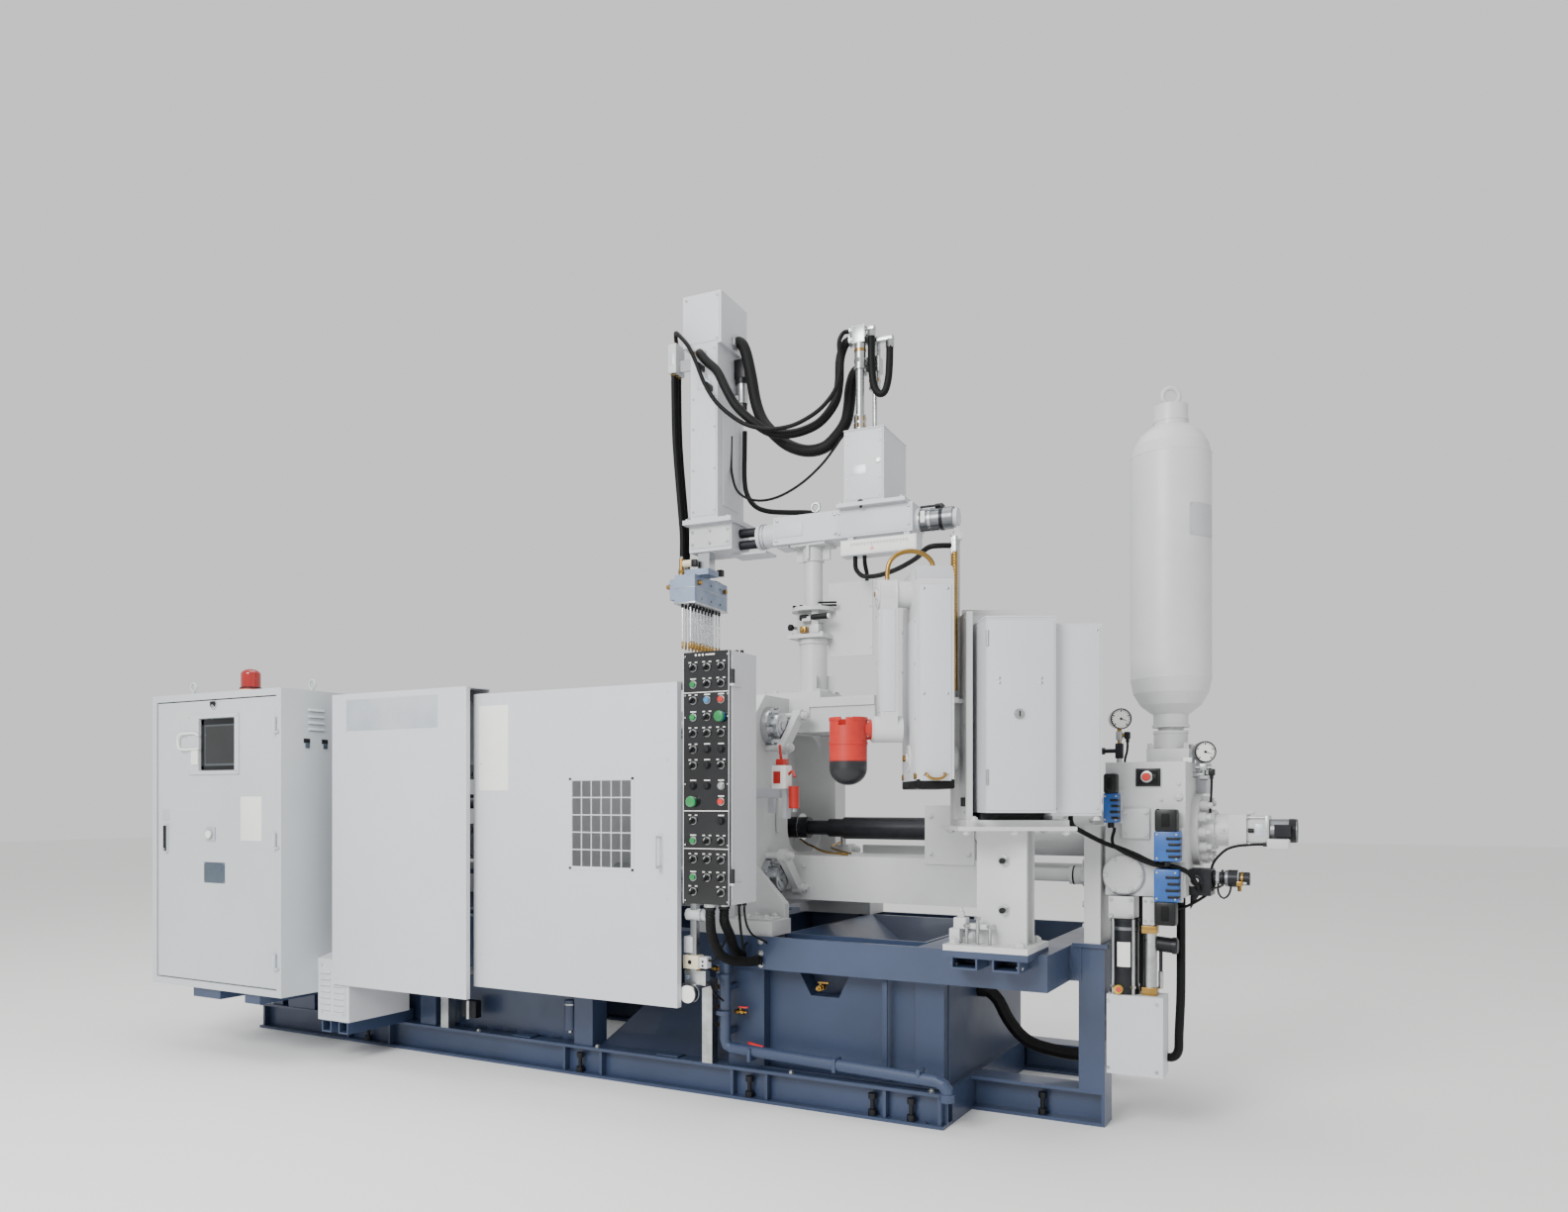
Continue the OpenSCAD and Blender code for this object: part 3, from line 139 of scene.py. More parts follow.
blackSteel = makeFinish("blackOxide", "15161a", "24262b", (0.28, 0.5), metal=0.5, scale=7.0, bump=0.1)  # rods, bolts
rubber = makeFinish("hoseRubber", "060607", "0e0f10", (0.5, 0.66), scale=20.0, bump=0.2, gloss=0.2)  # hoses
blackPlastic = makeFinish("blackPlastic", "0c0d0f", "15171a", (0.34, 0.5), scale=11.0, bump=0.08, gloss=0.3)  # solenoids
panelBlack = makeFinish("panelAcrylic", "08090b", "101216", (0.16, 0.28), scale=6.0, bump=0.0, coat=0.5)  # panel
coilBlue = makeFinish("valveBlue", "1f5aa4", "1a4c8c", (0.3, 0.42), scale=10.0, bump=0.06)  # valve bodies
redEnamel = makeFinish("ladleRed", "c9281a", "a81e14", (0.3, 0.5), scale=6.0, bump=0.25)  # levers, ladle rim
ladleCoat = makeFinish("ladleCoat", "c9281a", "a81e14", (0.3, 0.5), scale=6.0, bump=0.25)  # red cup, dipped dark below
redLens = makeFinish("redLens", "a8140e", "7f0d09", (0.08, 0.14), scale=5.0, bump=0.0, coat=0.7)  # lamp
screenGlass = makeFinish("screenGlass", "3a4248", "2b3238", (0.06, 0.12), scale=2.0, bump=0.0, coat=0.8)  # screen
buttonGreen = makeFinish("buttonGreen", "0f8a45", "0c7239", (0.22, 0.3), scale=9.0, bump=0.0, coat=0.4)  # start buttons
buttonRed = makeFinish("buttonRed", "d2281e", "b41f18", (0.22, 0.3), scale=9.0, bump=0.0, coat=0.4)  # stop buttons
buttonBlue = makeFinish("buttonBlue", "3f83b8", "34709f", (0.22, 0.3), scale=9.0, bump=0.0, coat=0.4)  # reset button
barePlate = makeFinish("barePlate", "cfd4da", "b4bcc6", (0.3, 0.42), metal=0.4, scale=3.0, bump=0.02)  # label place
whitePlate = makeFinish("whitePlate", "f1f1ee", "e6e6e2", (0.4, 0.5), scale=4.0, bump=0.0)  # label place, marks
paintedShadeInside = makeFinish("paintedShadeInside", "1c1e21", "121316", (0.6, 0.75), scale=6.0, bump=0.1)  # painted shade: dark sheets behind slots and gaps, standing for the shade there
cabinetGrey = makeFinish("cabinetEnamel", "c3c8cb", "b7bdc0", (0.36, 0.48), scale=0.8, bump=0.08)  # cabinet sheet
darkPlate = makeFinish("etchedPlate", "5d6976", "4e5965", (0.3, 0.42), metal=0.5, scale=5.0, bump=0.02)  # nameplate
yellowPlate = makeFinish("yellowPlate", "cfae3c", "bd9c2e", (0.4, 0.5), scale=5.0, bump=0.0)  # yellow caps
creamPlastic = makeFinish("creamPlastic", "e6dcc0", "dccfae", (0.3, 0.42), scale=6.0, bump=0.03)  # lamp socket

cadFinish = {
    navy: "lower_rails base_posts upper_frame nose_frame cabinet_arms ladler_bracket base_skirts casting_chute "
    "drip_tray drain_pipe",
    tankNavy: "oil_tank",
    cabinetGrey: "cabinet_shell cabinet_door",
    lightEnamel: "transformer_box fixed_cover slide_door control_pendant rear_cover "
    "spray_beam spray_control_box spray_housing ladle_control_box pump_box",
    castEnamel: "fixed_platen moving_platen end_platen c_frame shot_cylinder injection_block accumulator_bottle "
    "spray_column ladle_stand ladle_column ladle_body_link ladle_arm",
    blackSteel: "levelling_bolts plunger_rod spray_rods charge_pump injection_motor relief_valve",
    groundSteel: "tie_bars spray_ram spray_nozzles",
    linkSteel: "toggle_links crosshead",
    zinc: "guard_frame spray_pipe_stand pressure_gauges",
    aluminium: "spray_head",
    coilBlue: "injection_valves",
    ladleCoat: "ladle_cup",
    redLens: "beacon",
    screenGlass: "cabinet_screen",
    panelBlack: "pendant_panel",
    brass: "ladle_conduits",
    rubber: "injection_hoses spray_hoses lift_hoses",
}
dip = {"line": 0.082, "edge": 0.003, "colour": "17181b"}  # where the ladle's dark dipping coat ends, above its foot
cupLow = min(v.co.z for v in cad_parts["ladle_cup"].data.vertices)
tree = ladleCoat.node_tree
shader = tree.nodes["Principled BSDF"]
place = addNode(tree, "ShaderNodeSeparateXYZ", {"Vector": addNode(tree, "ShaderNodeTexCoord").outputs["Object"]})
above = addNode(
    tree, "ShaderNodeMapRange",
    {
        "Value": place.outputs["Z"], "From Min": cupLow + dip["line"] - dip["edge"],
        "From Max": cupLow + dip["line"] + dip["edge"],
    },
)
coat = addNode(tree, "ShaderNodeMix", {"Factor": above.outputs["Result"]}, data_type="RGBA")
coat.inputs["A"].default_value = linear(dip["colour"])
tree.links.new(shader.inputs["Base Color"].links[0].from_socket, coat.inputs["B"])
tree.links.new(coat.outputs["Result"], shader.inputs["Base Color"])
for finish, names in cadFinish.items():
    for name in names.split():
        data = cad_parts[name].data
        data.materials.clear()
        data.materials.append(finish)
print("finishes done")

# Floor and light
floorData = {"half": 30.0, "colour": "f4f4f2", "rough": 0.8}
sky = {"colour": (1.0, 1.0, 1.0, 1.0), "strength": 0.9}
bpy.ops.mesh.primitive_plane_add(size=2 * floorData["half"])
floor = bpy.context.active_object
floor.name = "studioFloor"
floorFinish = bpy.data.materials.new("paperFloor")
floorFinish.use_nodes = True
floorFinish.node_tree.nodes["Principled BSDF"].inputs["Base Color"].default_value = linear(floorData["colour"])
floorFinish.node_tree.nodes["Principled BSDF"].inputs["Roughness"].default_value = floorData["rough"]
floor.data.materials.append(floorFinish)
world = bpy.data.worlds.new("studioWorld")
world.use_nodes = True
world.node_tree.nodes["Background"].inputs["Color"].default_value = sky["colour"]
world.node_tree.nodes["Background"].inputs["Strength"].default_value = sky["strength"]
bpy.context.scene.world = world
lamps = {
    "keyLight": {"at": (0.6, -7.0, 4.6), "to": (0.3, 0.0, 1.0), "size": 3.0, "power": 540.0},
    "topLight": {"at": (0.0, -0.5, 7.0), "to": (0.0, 0.0, 0.5), "size": 5.0, "power": 200.0},
    "sideLight": {"at": (7.0, -2.0, 3.2), "to": (1.5, 0.0, 1.0), "size": 3.0, "power": 8.0},
}
for name, lamp in lamps.items():
    data = bpy.data.lights.new(name, "AREA")
    data.energy = lamp["power"]
    data.size = lamp["size"]
    light = bpy.data.objects.new(name, data)
    light.location = lamp["at"]
    light.rotation_euler = (Vector(lamp["to"]) - Vector(lamp["at"])).to_track_quat("-Z", "Y").to_euler()
    bpy.context.scene.collection.objects.link(light)
print("stage done")


def skin(part, loops):
    for a, b in zip(loops, loops[1:]):
        for i in range(len(a)):
            part.faces.new((a[i - 1], a[i], b[i], b[i - 1]))
    part.faces.new(loops[0][::-1])
    part.faces.new(loops[-1])


def land(name, data, body):
    piece = bpy.data.objects.new(name, data)
    bpy.context.scene.collection.objects.link(piece)
    if body:
        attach(piece, body)
    return piece


class Build:  # one piece, made of solids that each have a finish
    def __init__(self, place=Matrix.Identity(4)):
        self.mesh = bmesh.new()
        self.place = place
        self.finishes = []

    def add(self, part, finish, matrix=Matrix.Identity(4)):
        if finish not in self.finishes:
            self.finishes.append(finish)
        part.transform(self.place @ matrix)
        bmesh.ops.recalc_face_normals(part, faces=part.faces)
        for face in part.faces:
            face.material_index = self.finishes.index(finish)
            face.smooth = True
        data = bpy.data.meshes.new("solid")
        part.to_mesh(data)
        part.free()
        self.mesh.from_mesh(data)
        bpy.data.meshes.remove(data)
        return self

    def block(self, low, high, finish, edge=0.0015, turn=(0, 0, 0)):
        low, high = Vector(low), Vector(high)
        span = high - low
        part = bmesh.new()
        bmesh.ops.create_cube(part, size=1.0)
        for vertex in part.verts:
            vertex.co = Vector(c * s for c, s in zip(vertex.co, span))
        if edge:
            bmesh.ops.bevel(
                part, geom=part.edges[:], offset=min(edge, 0.4 * min(span)), segments=2, profile=0.6, affect="EDGES"
            )
        spin = Matrix.Rotation(turn[2], 4, "Z") @ Matrix.Rotation(turn[1], 4, "Y") @ Matrix.Rotation(turn[0], 4, "X")
        return self.add(part, finish, Matrix.Translation((low + high) / 2) @ spin)

    def turned(self, start, axis, rings, finish, sides=24):
        part = bmesh.new()
        loops = []
        for along, radius in rings:
            angles = [2 * math.pi * (i + 0.5) / sides for i in range(sides)]
            loops.append([part.verts.new((radius * math.cos(a), radius * math.sin(a), along)) for a in angles])
        skin(part, loops)
        turn = Vector(axis).to_track_quat("Z", "Y").to_matrix().to_4x4()
        return self.add(part, finish, Matrix.Translation(start) @ turn)

    def rod(self, start, end, radius, finish, sides=20, edge=0.0008):
        run = Vector(end) - Vector(start)
        far = run.length
        edge = min(edge, 0.3 * far, 0.3 * radius)
        rings = [(0, radius - edge), (edge, radius), (far - edge, radius), (far, radius - edge)]
        return self.turned(start, run, rings, finish, sides)

    def prism(self, outline, along, finish, edge=0.0):
        part = bmesh.new()
        face = part.faces.new([part.verts.new(p) for p in outline])
        made = bmesh.ops.extrude_face_region(part, geom=[face])["geom"]
        bmesh.ops.translate(part, vec=along, verts=[g for g in made if isinstance(g, bmesh.types.BMVert)])
        if edge:
            bmesh.ops.bevel(part, geom=part.edges[:], offset=edge, segments=2, profile=0.6, affect="EDGES")
        return self.add(part, finish)

    def pipe(self, points, radius, finish, sides=10, steps=4, radii=None):
        path = smooth(points, steps) if steps > 1 else [Vector(p) for p in points]
        part = bmesh.new()
        side = (path[1] - path[0]).orthogonal().normalized()
        loops = []
        for i, p in enumerate(path):
            ahead = (path[min(i + 1, len(path) - 1)] - path[max(i - 1, 0)]).normalized()
            side = (side - ahead * side.dot(ahead)).normalized()
            other = ahead.cross(side)
            r = radii(i) if radii else radius
            angles = [2 * math.pi * k / sides for k in range(sides)]
            loops.append([part.verts.new(p + side * r * math.cos(a) + other * r * math.sin(a)) for a in angles])
        skin(part, loops)
        return self.add(part, finish)

    def done(self, name, body, angle=38, replaced=()):
        data = bpy.data.meshes.new(name)
        self.mesh.to_mesh(data)
        self.mesh.free()
        for finish in self.finishes:
            data.materials.append(finish)
        data.set_sharp_from_angle(angle=math.radians(angle))
        piece = land(name, data, body)
        if replaced:
            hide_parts(*replaced)
        return piece


def smooth(points, steps):
    points = [Vector(p) for p in points]
    path = []
    for i in range(len(points) - 1):
        a, b, c, d = points[max(i - 1, 0)], points[i], points[i + 1], points[min(i + 2, len(points) - 1)]
        for k in range(steps):
            t = k / steps
            spread = (c - a) * t + (2 * a - 5 * b + 4 * c - d) * t * t + (3 * b - a - 3 * c + d) * t**3
            path.append(b + spread / 2)
    return path + [points[-1]]


def resample(points, pitch):
    path = smooth(points, 8)
    lengths = [0.0]
    for a, b in zip(path, path[1:]):
        lengths.append(lengths[-1] + (b - a).length)
    count = max(2, round(lengths[-1] / pitch))
    result = []
    k = 0
    for i in range(count + 1):
        want = lengths[-1] * i / count
        while k < len(path) - 2 and lengths[k + 1] < want:
            k += 1
        share = (want - lengths[k]) / (lengths[k + 1] - lengths[k])
        result.append(path[k].lerp(path[k + 1], share))
    return result


# Fasteners, repeated over spots by one node group
hexHead = Build()
hexHead.turned((0, 0, 0), up, [(0, 1.25), (0.16, 1.25), (0.2, 1.2)], zinc, 20)
hexHead.turned((0, 0, 0.19), up, [(0, 1.0), (0.55, 1.0), (0.66, 0.86)], zinc, 6)
hexHead.turned((0, 0, 0.84), up, [(0, 0.5), (0.22, 0.5), (0.28, 0.42)], zinc, 12)
capHead = Build().turned((0, 0, 0), up, [(0, 1.0), (0.9, 1.0), (1.0, 0.9), (1.0, 0.55), (0.45, 0.52)], zinc, 12)
panHead = Build().turned((0, 0, 0), up, [(0, 1.0), (0.25, 0.96), (0.45, 0.7), (0.5, 0.3)], zinc, 12)
heads = {
    "hex": hexHead.done("hexHead", None), "cap": capHead.done("capHead", None), "pan": panHead.done("panHead", None)
}

boltGroup = bpy.data.node_groups.new("boltPattern", "GeometryNodeTree")
for label, kind in (("Spots", "Geometry"), ("Head", "Object"), ("Finish", "Material"), ("Seed", "Int")):
    boltGroup.interface.new_socket(label, in_out="INPUT", socket_type="NodeSocket" + kind)
boltGroup.interface.new_socket("Bolts", in_out="OUTPUT", socket_type="NodeSocketGeometry")
entry = boltGroup.nodes.new("NodeGroupInput").outputs
head = addNode(boltGroup, "GeometryNodeObjectInfo", {"Object": entry["Head"]})
facing = addNode(boltGroup, "GeometryNodeInputNamedAttribute", {"Name": "facing"}, data_type="FLOAT_VECTOR")
radius = addNode(boltGroup, "GeometryNodeInputNamedAttribute", {"Name": "radius"}, data_type="FLOAT")
aim = addNode(boltGroup, "FunctionNodeAlignRotationToVector", {"Vector": facing.outputs["Attribute"]}, axis="Z")
chance = addNode(boltGroup, "FunctionNodeRandomValue", {"Seed": entry["Seed"]}, data_type="FLOAT")
chance.inputs[3].default_value = 2 * math.pi  # Max of the float kind
spin = addNode(boltGroup, "ShaderNodeCombineXYZ", {"Z": chance.outputs[1]})
spin = addNode(boltGroup, "FunctionNodeEulerToRotation", {"Euler": spin.outputs["Vector"]})
turn = addNode(
    boltGroup, "FunctionNodeRotateRotation",
    {"Rotation": aim.outputs["Rotation"], "Rotate By": spin.outputs["Rotation"]}, rotation_space="LOCAL",
)
placed = addNode(
    boltGroup, "GeometryNodeInstanceOnPoints",
    {
        "Points": entry["Spots"], "Instance": head.outputs["Geometry"], "Rotation": turn.outputs["Rotation"],
        "Scale": radius.outputs["Attribute"],
    },
)
real = addNode(boltGroup, "GeometryNodeRealizeInstances", {"Geometry": placed.outputs["Instances"]})
painted = addNode(
    boltGroup, "GeometryNodeSetMaterial", {"Geometry": real.outputs["Geometry"], "Material": entry["Finish"]}
)
leave = boltGroup.nodes.new("NodeGroupOutput")
boltGroup.links.new(painted.outputs["Geometry"], leave.inputs["Bolts"])


def bolts(name, body, spots, finish=zinc, head="hex", place=Matrix.Identity(4), seed=3):
    data = bpy.data.meshes.new(name)
    data.from_pydata([place @ Vector(s[0]) for s in spots], [], [])
    data.attributes.new("facing", "FLOAT_VECTOR", "POINT")
    data.attributes.new("radius", "FLOAT", "POINT")
    for i, spot in enumerate(spots):
        data.attributes["facing"].data[i].vector = place.to_3x3() @ Vector(spot[1])
        data.attributes["radius"].data[i].value = spot[2]
    seedObject = bpy.data.objects.new(name, data)
    bpy.context.scene.collection.objects.link(seedObject)
    modifier = seedObject.modifiers.new("boltPattern", "NODES")
    modifier.node_group = boltGroup
    values = {"Head": heads[head], "Finish": finish, "Seed": seed}
    for item in boltGroup.interface.items_tree:
        if item.item_type == "SOCKET" and item.name in values:
            modifier[item.identifier] = values[item.name]
    graph = bpy.context.evaluated_depsgraph_get()
    data = bpy.data.meshes.new_from_object(seedObject.evaluated_get(graph))
    bpy.data.objects.remove(seedObject)
    data.name = name
    if not data.materials:
        data.materials.append(finish)
    data.set_sharp_from_angle(angle=math.radians(38))
    land(name, data, body)


def ribbed(build, points, radius, finish, pitch=0.009, sides=10):
    build.pipe(resample(points, pitch / 3), radius, finish, sides, 1, lambda i: radius * (1.0 if i % 3 else 0.86))


def hose(name, points, radius, finish=rubber, sides=10, ribs=0.0, replaced=(), crossing=()):
    path = resample(points, 0.012)
    build = Build()
    if ribs:
        ribbed(build, points, radius, finish, ribs, sides)
    else:
        build.pipe(path, radius, finish, sides, 1)
    piece = build.done(name, None if crossing else "machine", 60, replaced)
    if crossing:
        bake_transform(piece)


def ferrule(build, at, axis, radius, length, finish=zinc):
    axis = Vector(axis).normalized()
    at = Vector(at)
    build.rod(at, at + axis * length, radius, finish, 16)
    build.turned(at + axis * length * 0.15, axis, [(0, radius * 1.3), (length * 0.3, radius * 1.3)], finish, 6)


def ring(centre, radius, count, axis, size, start=0.0):
    axis = Vector(axis).normalized()
    side = axis.orthogonal().normalized()
    other = axis.cross(side)
    spots = []
    for i in range(count):
        a = start + 2 * math.pi * i / count
        spots.append((Vector(centre) + side * radius * math.cos(a) + other * radius * math.sin(a), axis, size))
    return spots


def grid(xs, ys, zs, axis, size):
    return [((x, y, z), axis, size) for x in xs for y in ys for z in zs]


clampZ, shotZ, columnX, bottleX = 1.145, 1.035, 1.028, 2.46  # centre lines of the machine
spray = Matrix.Translation((columnX, 0, 2.296)) @ Matrix.Rotation(math.radians(3.5), 4, "Z")  # sprayer's own frame
scoop = Matrix.Translation((2.01, -0.55, 0)) @ Matrix.Rotation(math.radians(30), 4, "Z")  # ladler's own frame


# Control cabinet


def louvre(build, x0, x1, z, y, finish, out=-1, tall=0.011, deep=0.006):
    outline = [(x0, y, z), (x0, y + out * deep, z), (x0, y + out * deep * 0.8, z + tall * 0.3), (x0, y, z + tall)]
    build.prism(outline, (x1 - x0, 0, 0), finish, 0.0008)
    # dark strip under the blade: painted shade
    build.block((x0 + 0.002, y + out * (deep - 0.001), z - 0.0008), (x1 - 0.002, y, z + 0.0006), paintedShadeInside, 0)


cabinet = {"front": -1.106, "glass": -1.1045, "glassBack": -1.1029}
door = Build()
y = cabinet["front"]
door.block((-1.772, y - 0.0165, 0.917), (-1.753, y - 0.0115, 1.034), blackPlastic, 0.002)  # lock lever
door.rod((-1.7625, y - 0.016, 0.925), (-1.7625, y - 0.0195, 0.925), 0.006, zinc, 14)
door.block((-1.441, y - 0.0095, 1.572), (-1.407, y - 0.0075, 1.596), blackPlastic, 0.001)  # top latch
door.rod((-1.424, y - 0.007, 1.573), (-1.424, y - 0.012, 1.573), 0.009, zinc, 16)
# plate behind the knob, coloured as painted shade
door.block((-1.476, y - 0.005, 0.967), (-1.414, y - 0.002, 1.029), paintedShadeEnamel, 0.001)
door.rod((-1.445, y - 0.012, 0.998), (-1.445, y - 0.0155, 0.998), 0.0215, zinc, 28)
door.rod((-1.445, y - 0.0135, 0.998), (-1.445, y - 0.0175, 0.998), 0.0185, whitePlate, 28)
for x1, z0, z1 in ((-1.498, 1.288, 1.517), (-1.278, 1.492, 1.517), (-1.278, 1.288, 1.306)):  # dark rim of the screen
    door.block((-1.518, cabinet["glass"], z0), (x1, cabinet["glassBack"], z1), blackPlastic, 0.0006)
door.block((-1.489, -1.1036, 1.316), (-1.286, -1.1028, 1.484), panelBlack, 0)  # dark display
pull = [(-1.52, -1.114, 1.385), (-1.52, -1.1225, 1.385), (-1.54, -1.1235, 1.383), (-1.63, -1.1235, 1.383)]
pull += [(-1.655, -1.1235, 1.395), (-1.66, -1.1235, 1.42), (-1.655, -1.1235, 1.445), (-1.63, -1.1235, 1.455)]
pull += [(-1.545, -1.1235, 1.455), (-1.525, -1.1225, 1.448), (-1.522, -1.114, 1.445)]
door.pipe(pull, 0.005, whitePlate, 10)
door.block((-1.572, -1.1195, 1.312), (-1.523, -1.1135, 1.38), whitePlate, 0.002)
for x0, x1, z0, z1, finish in ((-1.24, -1.101, 0.973, 1.167, whitePlate), (-1.494, -1.348, 0.779, 0.872, darkPlate)):
    door.block((x0, y - 0.0012, z0), (x1, y + 0.0005, z1), finish, 0.0005)
door.prism(
    [(-1.801, y - 0.001, 1.056), (-1.743, y - 0.001, 1.056), (-1.743, y - 0.001, 1.11), (-1.801, y - 0.001, 1.11)],
    (0, 0.0015, 0), barePlate,
)
door.done("cabinet_door_fittings", "cabinet_leaf")
bolts(
    "cabinet_door_screws", "cabinet_leaf",
    grid((-1.488, -1.354), (y - 0.0012,), (0.785, 0.866), front, 0.0028)
    + grid((-1.59, -1.258), (-1.114,), (1.28, 1.527), front, 0.0034),
    zinc, "pan",
)

side = Build()
for z in (1.459, 1.487, 1.515, 1.543):
    outline = [(-0.967, -0.969, z), (-0.961, -0.969, z), (-0.962, -0.969, z + 0.005), (-0.967, -0.969, z + 0.013)]
    side.prism(outline, (0, 0.086, 0), cabinetGrey, 0.001)
    # dark strip behind each louvre: painted shade
    side.block((-0.9672, -0.967, z - 0.001), (-0.962, -0.885, z + 0.0006), paintedShadeInside, 0)
for y0 in (-0.994, -0.896):
    side.block((-0.967, y0, 1.402), (-0.9655, y0 + 0.034, 1.422), blackPlastic, 0.0004)
    side.block((-0.967, y0 + 0.008, 1.38), (-0.963, y0 + 0.03, 1.404), darkPlate, 0.003)
for x0 in (-0.945, -0.862):
    for k in range(7):
        louvre(side, x0, x0 + 0.062, 0.225 + 0.027 * k, -0.919, lightEnamel)
for k in range(5):  # vents of the cabinet's back
    for x0 in (-1.7, -1.26):
        louvre(side, x0, x0 + 0.16, 1.42 + 0.03 * k, -0.62, cabinetGrey, 1)
        louvre(side, x0, x0 + 0.16, 0.42 + 0.03 * k, -0.62, cabinetGrey, 1)
side.turned((-1.495, -0.86, 1.636), up, [(0, 0.0525), (0.034, 0.0525), (0.0395, 0.049)], creamPlastic, 32)
side.turned((-1.495, -0.86, 1.674), up, [(0, 0.0492), (0.007, 0.0492), (0.009, 0.0462)], blackPlastic, 32)
side.block((-1.512, -0.9135, 1.645), (-1.478, -0.911, 1.662), whitePlate, 0.0005)
side.done("cabinet_side_fittings", "machine")
bolts(
    "cabinet_screws", "machine",
    grid((-1.85, -1.64, -1.18, -0.982), (-0.62,), (0.33, 0.9, 1.3, 1.61), back, 0.005)
    + grid((-0.937, -0.8), (-0.919,), (0.213, 0.423), front, 0.0045)
    + grid((-0.937, -0.8), (-0.56,), (0.23, 0.45), back, 0.0045),
    zinc, "pan",
)
print("cabinet done")

# Guards
guard = {"cover": -0.93, "door": -0.868}
badge = Build()
badge.block((-0.77, guard["cover"] - 0.0022, 1.452), (-0.236, guard["cover"] + 0.0005, 1.585), barePlate, 0.0008)
badge.done("cover_badge_plate", "machine")
bolts(
    "cover_screws", "machine",
    grid((-0.84, -0.47, -0.105), (guard["cover"],), (0.372, 1.59), front, 0.0048)
    + grid((-0.84, -0.105), (guard["cover"],), (0.78, 1.2), front, 0.0048)
    + grid((-1.45, -1.05, -0.6, -0.15, 0.35, 0.86), (0.6016,), (0.56, 1.07, 1.57), back, 0.0046),
    lightEnamel, "pan",
)
leaf = Build()
leaf.block((-0.066, guard["door"] - 0.0012, 1.19), (0.088, guard["door"] + 0.0005, 1.534), whitePlate, 0.0004)
for x0, x1, z0, z1 in (
    (0.394, 0.406, 0.884, 1.238), (0.686, 0.698, 0.884, 1.238), (0.394, 0.698, 0.882, 0.894),
    (0.394, 0.698, 1.228, 1.24),
):
    leaf.block((x0, -0.8695, z0), (x1, -0.8675, z1), lightEnamel, 0.0006)  # window edging
for x in (-0.005, 0.8):
    for z, r in ((0.4853, 0.03), (1.5447, 0.015)):
        leaf.rod((x, -0.842, z), (x, -0.8055, z), r * 0.94, blackPlastic, 24)
        leaf.rod((x, -0.8052, z), (x, -0.803, z), r * 0.4, zinc, 12)
leaf.done("slide_door_fittings", "guard_door")
bolts(
    "slide_door_screws", "guard_door",
    grid((-0.055, 0.845), (guard["door"],), (0.53, 0.79, 1.3, 1.55), front, 0.0055)
    + grid((0.812, 0.824), (-0.8685,), (0.893, 1.027), front, 0.003),
    lightEnamel, "pan",
)
rail = Build()
rail.rod((0.913, -0.823, 0.438), (0.913, -0.809, 0.438), 0.0325, blackPlastic, 30)
rail.rod((0.913, -0.807, 0.438), (0.913, -0.801, 0.438), 0.033, zinc, 30)
rail.rod((0.913, -0.836, 0.438), (0.913, -0.834, 0.438), 0.0325, whitePlate, 30)
rail.rod((0.884, -0.786, 0.727), (0.972, -0.786, 0.727), 0.022, lightEnamel, 24)  # small air cylinder
rail.rod((0.946, -0.786, 0.727), (0.953, -0.786, 0.727), 0.0232, zinc, 24)
rail.block((0.958, -0.8, 0.716), (0.988, -0.772, 0.742), zinc, 0.003)
rail.block((0.8765, -0.802, 0.585), (0.915, -0.762, 0.646), lightEnamel, 0.003)  # switch box
rail.block((0.8765, -0.806, 0.527), (0.942, -0.765, 0.577), creamPlastic, 0.002)  # pneumatic valve
rail.block((0.942, -0.8, 0.531), (0.976, -0.768, 0.573), lightEnamel, 0.002)
rail.rod((0.906, -0.806, 0.552), (0.906, -0.8085, 0.552), 0.008, blackPlastic, 14)
rail.rod((0.958, -0.8, 0.557), (0.958, -0.803, 0.557), 0.004, blackPlastic, 12)
rail.rod((0.958, -0.8, 0.541), (0.958, -0.803, 0.541), 0.004, blackPlastic, 12)
rail.block((0.88, -0.803, 0.468), (0.972, -0.769, 0.522), zinc, 0.004)
rail.rod((0.895, -0.803, 0.495), (0.895, -0.806, 0.495), 0.009, aluminium, 16)
rail.rod((0.935, -0.786, 0.522), (0.935, -0.786, 0.53), 0.007, brass, 12)
rail.pipe(
    [(0.976, -0.786, 0.56), (0.996, -0.786, 0.562), (1.01, -0.775, 0.585), (1.035, -0.74, 0.66)], 0.004, rubber, 8
)
rail.pipe([(0.972, -0.786, 0.48), (0.985, -0.784, 0.47), (0.99, -0.77, 0.44), (0.988, -0.7, 0.4)], 0.004, rubber, 8)
rail.done("door_switch_gear", "machine")
print("guards done")

